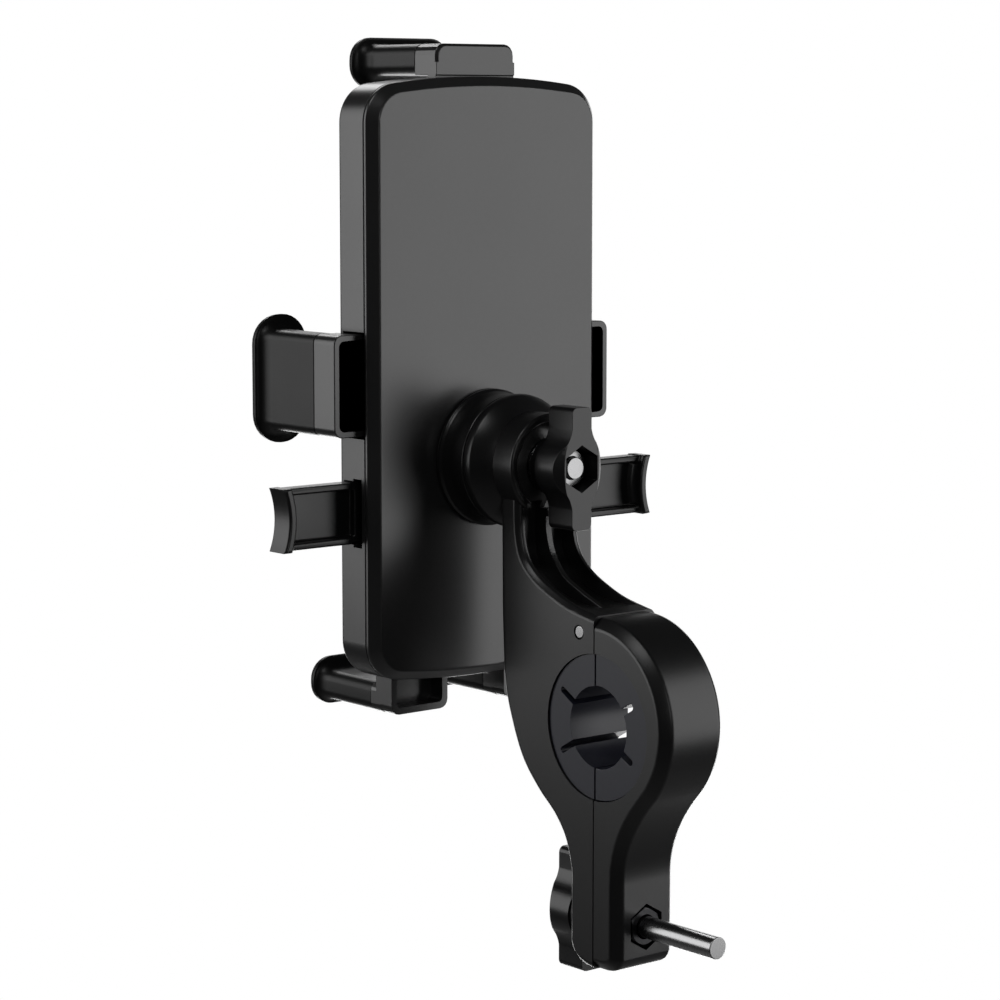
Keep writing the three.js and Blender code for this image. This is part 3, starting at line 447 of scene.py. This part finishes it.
def arm_pockets():
    """The two pockets behind the arm's web, with the rib between them."""
    web = [(-31, 47.5), (-31, 38), *bend((-31, 38), (-30.6, 27), (-12, 25.2), 16),
           (-4.8, 25.0), (-4.8, 47.5)]
    pockets = along_x("pockets", tidy(web), -7.2, 7.2)
    rib_edge = smooth([(-27.4, 50), (-26.7, 42), (-25.6, 36.6), (-21.7, 31.4), (-15.5, 28.2), (-9, 25.7),
                       (-6, 24.6)], 8)
    rib = along_x("rib", tidy([(-34, 50), *[p for p in rib_edge if p[1] < 49], (-6, 20),
                               (-34, 20)]), -0.8, 0.8)
    bevel(rib, 0.5, 2)
    return cut(pockets, rib)


def ball(r):
    """A sphere about the ball joint's centre."""
    steps = 40
    profile = [(r * math.sin(math.pi * i / steps), BALL_Y - r * math.cos(math.pi * i / steps))
               for i in range(steps + 1)]
    profile[0], profile[-1] = (0, BALL_Y - r), (0, BALL_Y + r)
    return turned("ball", profile, 0, AXIS_Z, 96)


def arm_head():
    """The arm's round head, a short cup with a rounded rim."""
    rear = HEAD_REAR_Y
    return turned("head", [
        (0, BALL_Y + 8), (HEAD_R, BALL_Y + 8), (HEAD_R, rear - 1.0), *arc_pair(HEAD_R - 0.7, rear - 0.7, 0.7),
        (0, rear)], 0, AXIS_Z, 128)


def arc_pair(r, y, radius):
    """A rounded outer corner of a turned profile."""
    return [(r + radius * math.cos(math.radians(a)), y + radius * math.sin(math.radians(a)))
            for a in (0, 22.5, 45, 67.5, 90)]


def head_recess():
    """The hollow of the cup, which leaves a boss round the bolt and follows the dome."""
    rear, boss, wall = HEAD_REAR_Y, 6.0, HEAD_R - 1.9
    dish = DOME_R + GAP + 1.6
    bottom = [(r, BALL_Y + math.sqrt(dish * dish - r * r)) for r in (boss, 7.0, 8.0, 9.0, wall)]
    return turned("recess", [
        (0, rear - 1.3), (boss, rear - 1.3), *bottom, (wall, rear - 0.4), (wall + 0.4, rear),
        (wall + 0.4, rear + 1), (0, rear + 1)], 0, AXIS_Z, 96)


def head_ribs():
    """Two low ribs across the cup, which stiffen its thin wall."""
    ribs = box("ribs", -HEAD_R + 1, HEAD_R - 1, HEAD_REAR_Y - 6, HEAD_REAR_Y - 2.6,
               AXIS_Z + 3.4, AXIS_Z + 4.8)
    return cut(ribs, rod_y("bore", 6.9, -FAR, 0, 0, AXIS_Z), ball(DOME_R + GAP + 0.4))


def arm():
    half = CLAMP_HALF
    body = edged("arm", arm_outline(), -half, half, 1.1, 0.55)
    join(body, arm_head())
    cut(body, box("parting", -FAR, FAR, -1.05, FAR, -FAR, FAR), bore(), arm_pockets(),
        ball(DOME_R + GAP), head_recess(),
        rod_y("bolt_way", BOLT_R + 0.35, -FAR, 0, 0, AXIS_Z),
        rod_y("clamp_way", BOLT_R + 0.5, -FAR, 0, 0, CLAMP_BOLT_Z),
        hinge_way(),
        rod_x("knuckle_way", 3.6, -3.9, 3.9, HINGE_Y, HINGE_Z, 48),
        box("neck_way", -3.9, 3.9, HINGE_Y, 3, 17.6, 24.0))
    join(body, head_ribs())
    finish(body, 0.4)
    place(body, "arm", "satin_black", SATIN, "arm_and_front_clamp")


def rear_clamp_outline():
    """Side view of the rear half of the clamp: a round back that runs down into the rear ear."""
    y, z, r, leave = -0.7, 1.2, 23.3, -41.25
    start = (y + r * math.cos(math.radians(leave)), z + r * math.sin(math.radians(leave)))
    ear = bend((EAR_REAR_Y, -35), (EAR_REAR_Y, -24.4), start, 16)
    foot = bend((2, EAR_BOTTOM_Z), (EAR_REAR_Y - 0.6, EAR_BOTTOM_Z + 0.3), (EAR_REAR_Y, EAR_BOTTOM_Z + 3.4))
    return tidy([(-5, z + r), (-5, EAR_BOTTOM_Z), *foot, *ear, *arc(y, z, r, leave, 90, 48)])


def rear_clamp():
    half = CLAMP_HALF
    body = edged("clamp_half", rear_clamp_outline(), -half, half, 2.1, 0.7)
    cut(body, box("parting", -FAR, FAR, -FAR, -0.7, -FAR, FAR), bore())
    knuckle = join(rod_x("knuckle", 3.3, -3.6, 3.6, HINGE_Y, HINGE_Z, 64),
                   box("neck", -3.6, 3.6, HINGE_Y, 3, 17.9, 23.7))
    join(body, cut(knuckle, bore()))
    pocket = along_y("pocket", hexagon(POCKET_FLATS, CLAMP_BOLT_Z), EAR_REAR_Y - 4.4, FAR)
    cut(body, hinge_way(),
        rod_y("clamp_way", BOLT_R + 0.8, -FAR, FAR, 0, CLAMP_BOLT_Z), pocket)
    finish(body, 0.3)
    place(body, "rear_clamp", "satin_black", SATIN, "rear_clamp")


def insert_half(name, side, body):
    """Half of the rubber insert: a ring with two round-ended slits that open into its bore."""
    half = CLAMP_HALF - 0.5
    ring = rod_x(name, BORE_R - 0.12, -half, half, 0, 0, 128)
    cut(ring, rod_x("bore", 9.35, -FAR, FAR, 0, 0, 96))
    cut(ring, box("other_half", -FAR, FAR, *((-1.2, FAR) if side < 0 else (-FAR, -0.8)), -FAR, FAR))
    reach = 13.7 if side < 0 else 12.3
    slit_half = 0.75
    for degrees in (-30, 30):
        slit = rounded(0, reach + slit_half, -slit_half, slit_half, 0.74, 6)
        a = math.radians(180 - degrees if side < 0 else degrees)
        turned_slit = [(u * math.cos(a) - v * math.sin(a), u * math.sin(a) + v * math.cos(a))
                       for u, v in slit]
        cut(ring, along_x("slit", turned_slit, -FAR, FAR))
    finish(ring, 0.25)
    place(ring, body, "insert_rubber", INSERT, name)


# ---- Knobs, bolt and nuts ------------------------------------------------------------------------
def knob_outline():
    """A round hub of radius r between two narrow wings of half width w, with hollow fillets that leave
    the hub at the angle meet."""
    w, end, r, meet, corner = 2.9, 14, 7.2, 42, 1.4
    mx, mz = r * math.cos(math.radians(meet)), r * math.sin(math.radians(meet))
    right = [*arc(0, 0, r, -meet, meet, 16), *bend((mx, mz), (w + 0.5, mz + 1.6), (w, mz + 4.4), 10),
             *arc(w - corner, end - corner, corner, 0, 90, 6)]
    top = [*arc(corner - w, end - corner, corner, 90, 180, 6),
           *bend((-w, mz + 4.4), (-w - 0.5, mz + 1.6), (-mx, mz), 10)]
    half = right + top
    return tidy(half + [(-x, -z) for x, z in half])


def knob(name, inner_y, sense, z, body, node):
    """A wing knob whose inner end is at inner_y and which points along sense times Y."""
    wing_start, wing_end, boss_end, pocket_start = 2.2, 10.4, 9, 2.6
    boss_r, bolt_way_r = 6.7, 2.85

    def span(a, b):
        """Two depths into the knob as a rising pair of y values."""
        return sorted((inner_y + sense * a, inner_y + sense * b))
    piece = along_y(name, [(x, zz + z) for x, zz in knob_outline()], *span(wing_start, wing_end))
    taper = [(10.6, 4.95, 10.5), (8.5, 7.4, 13), (1.5, 14, 20)]
    turns = [math.tau * i / 96 for i in range(96)]
    rings = [[(rx * math.cos(a), inner_y + sense * depth, z + rz * math.sin(a)) for a in turns]
             for depth, rx, rz in taper]
    kept = join(loft("hub_chamfer", rings), box("wings", -3.3, 3.3, *span(1, 12), z - 20, z + 20))
    combine(piece, "INTERSECT", kept)
    join(piece, rod_y("hub", boss_r, *span(0, boss_end), 0, z, 96))
    cut(piece, rod_y("bolt_way", bolt_way_r, -FAR, FAR, 0, z),
        along_y("pocket", hexagon(POCKET_FLATS, z), *span(pocket_start, 40)))
    finish(piece, 0.22, 32)
    place(piece, body, "gloss_black", GLOSS, node)


def chamfered_nut(name, y0, y1, z, bore_r):
    """A hexagon nut with chamfered corners."""
    nut = along_y(name, hexagon(NUT_FLATS, z), y0, y1)
    r, edge = NUT_FLATS / 2, 0.45
    kept = turned("chamfer", [
        (0, y0), (r, y0), (r * 1.2, y0 + edge), (r * 1.2, y1 - edge), (r, y1), (0, y1)], 0, z, 64)
    combine(nut, "INTERSECT", kept)
    cut(nut, rod_y("bore", bore_r, -FAR, FAR, 0, z))
    return finish(nut, 0.1, 28)


def bolt(name, y0, y1, z, body, node):
    """A plated bolt: smooth shank with a rounded end at y1, and a hexagon head below y0."""
    head_depth = 3.5
    shank = [(0, y0 - 0.5), (BOLT_R, y0 - 0.5), (BOLT_R, y1 - 0.24), (BOLT_R - 0.06, y1 - 0.09),
             (BOLT_R - 0.2, y1), (0, y1)]
    piece = turned(name, shank, 0, z, 64)
    head = along_y("bolt_head", hexagon(NUT_FLATS, z), y0 - head_depth, y0)
    join(piece, bevel(head, 0.25, 2))
    finish(piece, 0.0, 32)
    place(piece, body, "bright_steel", STEEL, node)


def fastenings():
    knob("upper_wing_knob", -26.0, 1, AXIS_Z, "upper_knob", "upper_knob")
    knob("lower_wing_knob", EAR_FRONT_Y - GAP, -1, CLAMP_BOLT_Z, "lower_knob", "lower_knob")
    upper_nut = chamfered_nut("knob_nut", -23.1, -19.1, AXIS_Z, 2.75)
    place(upper_nut, "upper_knob", "bright_steel", STEEL, "upper_knob_nut")
    ear_nut = chamfered_nut("ear_nut", 2.8, 6.6, CLAMP_BOLT_Z, 2.85)
    place(ear_nut, "clamp_nut", "black_steel", DARK_STEEL, "clamp_nut")
    bolt("clamping_bolt", -12.25, 30, CLAMP_BOLT_Z, "lower_knob", "clamp_bolt")
    bolt("joint_bolt", BALL_Y + 9.4, BALL_Y + 29.2, AXIS_Z, "ball_cap", "ball_bolt")
    pin = rod_x("hinge_rod", 1.4, -8.9, 9.1, HINGE_Y, HINGE_Z, 48)
    finish(bevel(pin, 0.2, 2), 0.0)
    place(pin, "arm", "bright_steel", STEEL, "hinge_pin")


# ---- Ball joint ----------------------------------------------------------------------------------
def meridian(r, start, end):
    """Points (radius, y) on a sphere about the ball, between two angles from the joint's axis."""
    steps = 24
    angles = [math.radians(start + (end - start) * i / steps) for i in range(steps + 1)]
    return [(r * math.sin(a), BALL_Y + r * math.cos(a)) for a in angles]


def ball_joint():
    """The swivel base on the holder's back and the dome that stands on it."""
    flare = smooth([(15.5, BALL_Y + 0.1), (14.9, BALL_Y + 2.6), (14.9, BALL_Y + 5), (15.2, BALL_Y + 7.0)], 8)
    base = turned("joint_base", [
        (0, BACK_Y + GAP), (15.8, BACK_Y + GAP), (16, BACK_Y + GAP + 0.2), (16, BALL_Y - 0.5),
        (15.85, BALL_Y - 0.25), *flare, (15.05, BALL_Y + 7.2), (13, BALL_Y + 7.2), (13, BALL_Y + 2),
        (0, BALL_Y + 2)], 0, AXIS_Z, 144)
    finish(base, 0.0, 40)
    place(base, "holder", "gloss_black", GLOSS, "swivel_base")
    dome = turned("joint_dome", [
        (15.15, BALL_Y + 7.5), (15.35, BALL_Y + 7.75), (15.5, BALL_Y + 8.7), *meridian(DOME_R, 57.5, 25.4),
        *meridian(DOME_R - 2.2, 25.4, 53.5), (12.9, BALL_Y + 7.5)], 0, AXIS_Z, 144)
    finish(dome, 0.0, 40)
    place(dome, "holder", "gloss_black", GLOSS, "socket_dome")


# ---- Holder --------------------------------------------------------------------------------------
def holder_ring(within, depth):
    return [(x, BACK_Y - depth, z + MIDDLE_Z) for x, z in body_outline(within)]


def rear_shell():
    """The rear cover: a shallow cup with a 45 degree edge round its back."""
    outer = [(0.12, SEAM_DEPTH), (0.0, SEAM_DEPTH - 0.12), (0.0, 2.5), (0.06, 2.3), (0.22, 2.05),
             (1.75, 0.5), (1.95, 0.28), (2.1, 0.14), (2.3, 0.04), (2.6, 0.0)]
    inner = [(WALL, 1.8), (WALL, SEAM_DEPTH)]
    piece = loft("holder_rear", [holder_ring(i, d) for i, d in (inner + outer)])
    finish(piece, 0.0, 60)
    place(piece, "holder", "shell", SHELL, "rear_cover")


def front_tray():
    """The front shell: a shallow cup with slots for the jaws and levers in its rim."""
    top = SEAM_DEPTH + 0.16
    outer = [(0.12, top), (0.0, top + 0.12), (0.0, BODY_DEPTH - 1.2), (0.1, BODY_DEPTH - 0.7),
             (0.4, BODY_DEPTH - 0.3), (1.0, BODY_DEPTH)]
    inside = BODY_DEPTH - WALL + 0.1
    piece = loft("holder_front", [holder_ring(i, d) for i, d in ([(WALL, inside), (WALL, top)] + outer)])

    def slot(x0, x1, depth, z0, z1, rear=BRIDGE_DEPTH):
        return box("slot", x0, x1, BACK_Y - depth, BACK_Y - rear, MIDDLE_Z + z0, MIDDLE_Z + z1)
    cut(piece, slot(-FAR, FAR, inside, -12.2, 12.2, 0),
        slot(-FAR, FAR, 7.6, -37.3, -21.5), slot(-FAR, FAR, inside, -36.75, -22.05),
        slot(-12.05, 12.05, 8.4, 0, FAR),
        slot(8.24, 25.7, inside, -FAR, 0), slot(-25.7, -8.24, inside, -FAR, 0))
    counterbore_y = BACK_Y - BODY_DEPTH + 1.2
    for x in (-29, 29):
        for z in (MIDDLE_Z - 58, MIDDLE_Z + 58):
            cut(piece, rod_y("screw_way", 2.7, BACK_Y - 30, counterbore_y, x, z, 48),
                rod_y("screw_hole", 1.5, BACK_Y - 30, BACK_Y, x, z, 32))
    finish(piece, 0.25, 40)
    place(piece, "holder", "shell", SHELL, "front_shell")


# ---- Jaws ----------------------------------------------------------------------------------------
JAW_INNER = 34.35
JAW_OUTER = 41.2
JAW_HALF = 11.7
JAW_CORNER = 2.2


def jaw_sleeve(name, post, flare, corner, lip_corner, body, node):
    """A rubber sleeve round a jaw post, flaring to a thick rounded lip. post is (x0, x1, z0, z1) about the
    holder's middle and flare says how far the lip stands out on each of those four sides."""
    x0, x1, z0, z1 = post
    start, wall, inner_end = BODY_DEPTH - 0.12, 1.2, 31.3
    lip = 1.5
    lip_start = SLEEVE_END - lip

    def ring(depth, t, within=0.0):
        """The sleeve's section at a depth, a share t of the way out to the lip."""
        r = corner + (lip_corner - corner) * min(1, t) - within * 0.5
        loop = rounded(x0 - flare[0] * t + within, x1 + flare[1] * t - within, z0 - flare[2] * t + within,
                       z1 + flare[3] * t - within, max(r, 0.6), 8)
        return [(x, BACK_Y - depth, z + MIDDLE_Z) for x, z in loop]
    rings = [ring(inner_end, 0, wall), ring(start, 0, wall), ring(start, 0, 0.12),
             ring(start + 0.1, 0, 0.02), ring(start + 0.3, 0, 0)]
    reach = lip_start - FLARE_START
    flare_steps, lip_steps = 12, 6
    for i in range(flare_steps + 1):
        a = math.radians(90 * i / flare_steps)
        rings.append(ring(FLARE_START + reach * math.sin(a), 1 - math.cos(a)))
    for i in range(1, lip_steps + 1):
        a = math.radians(90 * i / lip_steps)
        rings.append(ring(lip_start + lip * math.sin(a), 1 - 0.16 * (1 - math.cos(a))))
    piece = loft(name, rings)
    finish(piece, 0.0, 50)
    place(piece, body, "rubber", RUBBER, node)


def sleeves():
    jaw_sleeve("side_grip_left", (JAW_INNER, JAW_OUTER, -JAW_HALF, JAW_HALF), (5.85, 2.1, 3.35, 3.35),
               JAW_CORNER, 7, "left_jaw", "left_sleeve")
    jaw_sleeve("side_grip_right", (-JAW_OUTER, -JAW_INNER, -JAW_HALF, JAW_HALF), (2.1, 5.85, 3.35, 3.35),
               JAW_CORNER, 7, "right_jaw", "right_sleeve")
    jaw_sleeve("top_grip", (-11.65, 11.65, 70.2, 77.4), (3, 3, 3, 1.8),
               2.6, 5.5, "top_jaw", "top_sleeve")
    jaw_sleeve("foot_grip_left", (8.64, 25.3, -77.4, -70.4), (1.2, 1.8, 1.5, 3),
               2.4, 5.4, "bottom_jaw", "bottom_sleeve_left")
    jaw_sleeve("foot_grip_right", (-25.3, -8.64, -77.4, -70.4), (1.8, 1.2, 1.5, 3),
               2.4, 5.4, "bottom_jaw", "bottom_sleeve_right")


def side_jaw(name, side, body, node):
    """A sliding tray, open at the back, with its post and the ratchet notches along its edges."""
    tray_start, inner_end, wall = 8, 12, 1.6
    notch_x, pitch, notches = 15, 2.4, 5

    def span(a, b):
        return (a, b) if side > 0 else (-b, -a)

    def prism(label, a, b, half, r, depth0, depth1):
        x0, x1 = span(a, b)
        return along_y(label, [(x, z + MIDDLE_Z) for x, z in rounded(x0, x1, -half, half, r, 8)],
                       BACK_Y - depth1, BACK_Y - depth0)
    tray = prism(name, tray_start, JAW_OUTER, JAW_HALF, JAW_CORNER, RIM_DEPTH, BODY_DEPTH - 0.15)
    cut(tray, box("front", *span(tray_start, JAW_INNER), BACK_Y - FAR, BACK_Y - TRAY_END, 0, 2 * FAR),
        prism("hollow", 4, JAW_OUTER - wall, JAW_HALF - wall, 1.2, -FAR, 9.2))
    cut(tray, box("inner_end", *span(-1, inner_end), -FAR * 2, FAR, 0, 2 * FAR))
    for i in range(notches):
        x = notch_x + i * pitch
        for up in (1, -1):
            tooth = [(side * x, MIDDLE_Z + up * (JAW_HALF - 0.9)),
                     (side * (x + 1.7), MIDDLE_Z + up * (JAW_HALF + 1)),
                     (side * x, MIDDLE_Z + up * (JAW_HALF + 1))]
            cut(tray, along_y("notch", tooth, -FAR * 2, FAR))
    join(tray, prism("core", 35.85, 39.7, 10.2, 0.8, BODY_DEPTH - 0.6, 31.0))
    finish(tray, 0.55, 40)
    place(tray, body, "shell", SHELL, node)


def lever(name, side, body, node):
    """A release lever: a recessed arm and a hollowed finger pad."""
    h, z = 7.1, MIDDLE_Z - 29.4
    front, back = BACK_Y - 10.8, BACK_Y - 7.9
    pad_front, pad_back = BACK_Y - 11, BACK_Y - 4.4
    tip, hollow, pad_thickness = 55.5, 18.5, 2.1
    inner_end, step_x, arm_end = 14, 35.2, tip - 1.8
    notch, rim = (13, 31), 1.7

    def flip(x0, x1):
        return (x0, x1) if side > 0 else (-x1, -x0)

    def slab(label, a, b, y0, y1, z0, z1):
        return box(label, *flip(a, b), y0, y1, z + z0, z + z1)
    arm_piece = slab(name, inner_end, arm_end, front, back, -h, h)
    join(arm_piece, slab("outer_arm", step_x, arm_end, front, back + 1.3, -h, h))
    pocket = slab("recess", 33.5, tip - 2.2, front + 1.4, back + 5, 1.6 - h, h - 1.6)
    cut(arm_piece, bevel(pocket, 0.45, 3, 60))
    cut(arm_piece, slab("notch", *notch, -FAR * 2, FAR, h - rim, h + 5),
        slab("notch", *notch, -FAR * 2, FAR, -h - 5, rim - h))
    finish(arm_piece, 0.5, 35)
    centre, spread = (tip - 1.4 + hollow) * side, math.degrees(math.asin((h + 0.15) / hollow))
    middle = 180 if side > 0 else 0
    outer = arc(centre, z, hollow, middle - spread, middle + spread, 20)
    inner = arc(centre, z, hollow + pad_thickness, middle - spread * 0.9, middle + spread * 0.9, 20)
    join(arm_piece, round_edged("pad", outer + inner[::-1], pad_front, pad_back, 0.7))
    finish(arm_piece, 0.0, 50)
    place(arm_piece, body, "satin_black", SATIN, node)


def carried_over():
    """The CAD nodes that keep their own shape: softened edges, smooth faces and a full material."""
    for name, node in frame["nodes"].items():
        if node.hide_render:
            continue
        slot = next(s["material_slot"] for s in frame["record"]["subparts"] if s["node"] == name)
        node.data.materials.clear()
        node.data.materials.append(LOOKS[slot])
        weld = node.modifiers.new("weld", "WELD")
        weld.merge_threshold = 0.00001
        flat = node.modifiers.new("flat", "DECIMATE")
        flat.decimate_type = "DISSOLVE"
        flat.angle_limit = math.radians(1.0)
        edge = node.modifiers.new("edge", "BEVEL")
        edge.width = 0.25 * MM
        edge.segments = 2
        edge.limit_method = "ANGLE"
        edge.angle_limit = math.radians(35)
        edge.harden_normals = True


arm()
rear_clamp()
insert_half("front_insert", -1, "arm")
insert_half("rear_insert", 1, "rear_clamp")
fastenings()
ball_joint()
rear_shell()
front_tray()
sleeves()
side_jaw("jaw_left", 1, "left_jaw", "left_jaw")
side_jaw("jaw_right", -1, "right_jaw", "right_jaw")
lever("lever_left", 1, "left_lever", "left_lever")
lever("lever_right", -1, "right_lever", "right_lever")
carried_over()


# ---- Stage, light and camera ---------------------------------------------------------------------
# Metres and radians from here on.
TARGET = (0, -0.02, 0.05)
FLOOR_DROP = 0.9
FLOOR_HALF = 30
FLOOR_GREY = 0.25
AMBIENT = 0.02
CAMERA_AT = Vector((0.4541, 0.5024, 0.1363))
AZIMUTH, ELEVATION = math.radians(140.3), math.radians(7.24)
FOCAL_LENGTH_MM = 110.6
PANELS = [  # name, position, width, height, strength
    ("light_right", (-1.1, 0.95, 0.22), 1.3, 1.4, 2.0),
    ("light_left", (1.15, -0.95, 0.3), 1.2, 1.1, 2.2),
    ("light_high", (-0.5, -1.05, 0.78), 0.5, 0.4, 4.0),
    ("light_behind", (-0.75, -1.2, -0.15), 1.5, 1.1, 1.6),
    ("light_low", (-0.8, -0.75, -0.5), 1.3, 0.3, 5.5),
    ("light_above", (0.6, 0.05, 1.0), 0.45, 0.4, 3.0),
    ("light_front", (0.55, 1.35, 0.45), 0.45, 0.6, 2.0)]


def panel(name, place_at, width, height, strength):
    """A large soft light: a glowing sheet that the camera doesn't see."""
    bm = bmesh.new()
    bmesh.ops.create_grid(bm, x_segments=1, y_segments=1, size=0.5)
    mesh = bpy.data.meshes.new(name)
    bm.to_mesh(mesh)
    bm.free()
    sheet = bpy.data.objects.new(name, mesh)
    bpy.context.scene.collection.objects.link(sheet)
    direction = Vector(TARGET) - Vector(place_at)
    turn = direction.to_track_quat("-Z", "Y").to_matrix().to_4x4()
    sheet.matrix_world = Matrix.Translation(place_at) @ turn @ Matrix.Diagonal((width, height, 1, 1))
    glow = bpy.data.materials.new(name)
    glow.use_nodes = True
    nodes, links = glow.node_tree.nodes, glow.node_tree.links
    nodes.clear()
    emission = nodes.new("ShaderNodeEmission")
    emission.inputs["Strength"].default_value = strength
    out = nodes.new("ShaderNodeOutputMaterial")
    links.new(emission.outputs["Emission"], out.inputs["Surface"])
    mesh.materials.append(glow)
    sheet.visible_camera = False


def floor():
    """A wide floor far below the object: white to the camera and grey to everything else."""
    bm = bmesh.new()
    bmesh.ops.create_grid(bm, x_segments=1, y_segments=1, size=FLOOR_HALF)
    mesh = bpy.data.meshes.new("floor")
    bm.to_mesh(mesh)
    bm.free()
    sheet = bpy.data.objects.new("floor", mesh)
    bpy.context.scene.collection.objects.link(sheet)
    sheet.location.z = CAD_BOX[0][2] - FLOOR_DROP
    look = bpy.data.materials.new("floor")
    look.use_nodes = True
    nodes, links = look.node_tree.nodes, look.node_tree.links
    nodes.clear()
    path = nodes.new("ShaderNodeLightPath")
    matt = nodes.new("ShaderNodeBsdfDiffuse")
    matt.inputs["Color"].default_value = (FLOOR_GREY, FLOOR_GREY, FLOOR_GREY, 1)
    pale = nodes.new("ShaderNodeEmission")
    mix = nodes.new("ShaderNodeMixShader")
    out = nodes.new("ShaderNodeOutputMaterial")
    links.new(path.outputs["Is Camera Ray"], mix.inputs["Fac"])
    links.new(matt.outputs["BSDF"], mix.inputs[1])
    links.new(pale.outputs["Emission"], mix.inputs[2])
    links.new(mix.outputs["Shader"], out.inputs["Surface"])
    mesh.materials.append(look)


def surroundings():
    """White behind the object for the camera, and dim grey for everything that the object reflects."""
    world = bpy.data.worlds.new("studio")
    bpy.context.scene.world = world
    world.use_nodes = True
    nodes, links = world.node_tree.nodes, world.node_tree.links
    nodes.clear()
    path = nodes.new("ShaderNodeLightPath")
    dim = nodes.new("ShaderNodeBackground")
    dim.inputs["Strength"].default_value = AMBIENT
    white = nodes.new("ShaderNodeBackground")
    white.inputs["Strength"].default_value = 1.0
    for node in (dim, white):
        node.inputs["Color"].default_value = (1, 1, 1, 1)
    mix = nodes.new("ShaderNodeMixShader")
    out = nodes.new("ShaderNodeOutputWorld")
    links.new(path.outputs["Is Camera Ray"], mix.inputs["Fac"])
    links.new(dim.outputs["Background"], mix.inputs[1])
    links.new(white.outputs["Background"], mix.inputs[2])
    links.new(mix.outputs["Shader"], out.inputs["Surface"])


def camera():
    data = bpy.data.cameras.new("camera")
    data.lens = FOCAL_LENGTH_MM
    data.sensor_width = 36
    data.clip_end = 100
    cam = bpy.data.objects.new("camera", data)
    bpy.context.scene.collection.objects.link(cam)
    cam.location = CAMERA_AT
    cam.rotation_euler = (math.pi / 2 - ELEVATION, 0, AZIMUTH)
    bpy.context.scene.camera = cam
    bpy.context.scene.view_settings.view_transform = "Standard"


floor()
surroundings()
for panel_values in PANELS:
    panel(*panel_values)
camera()
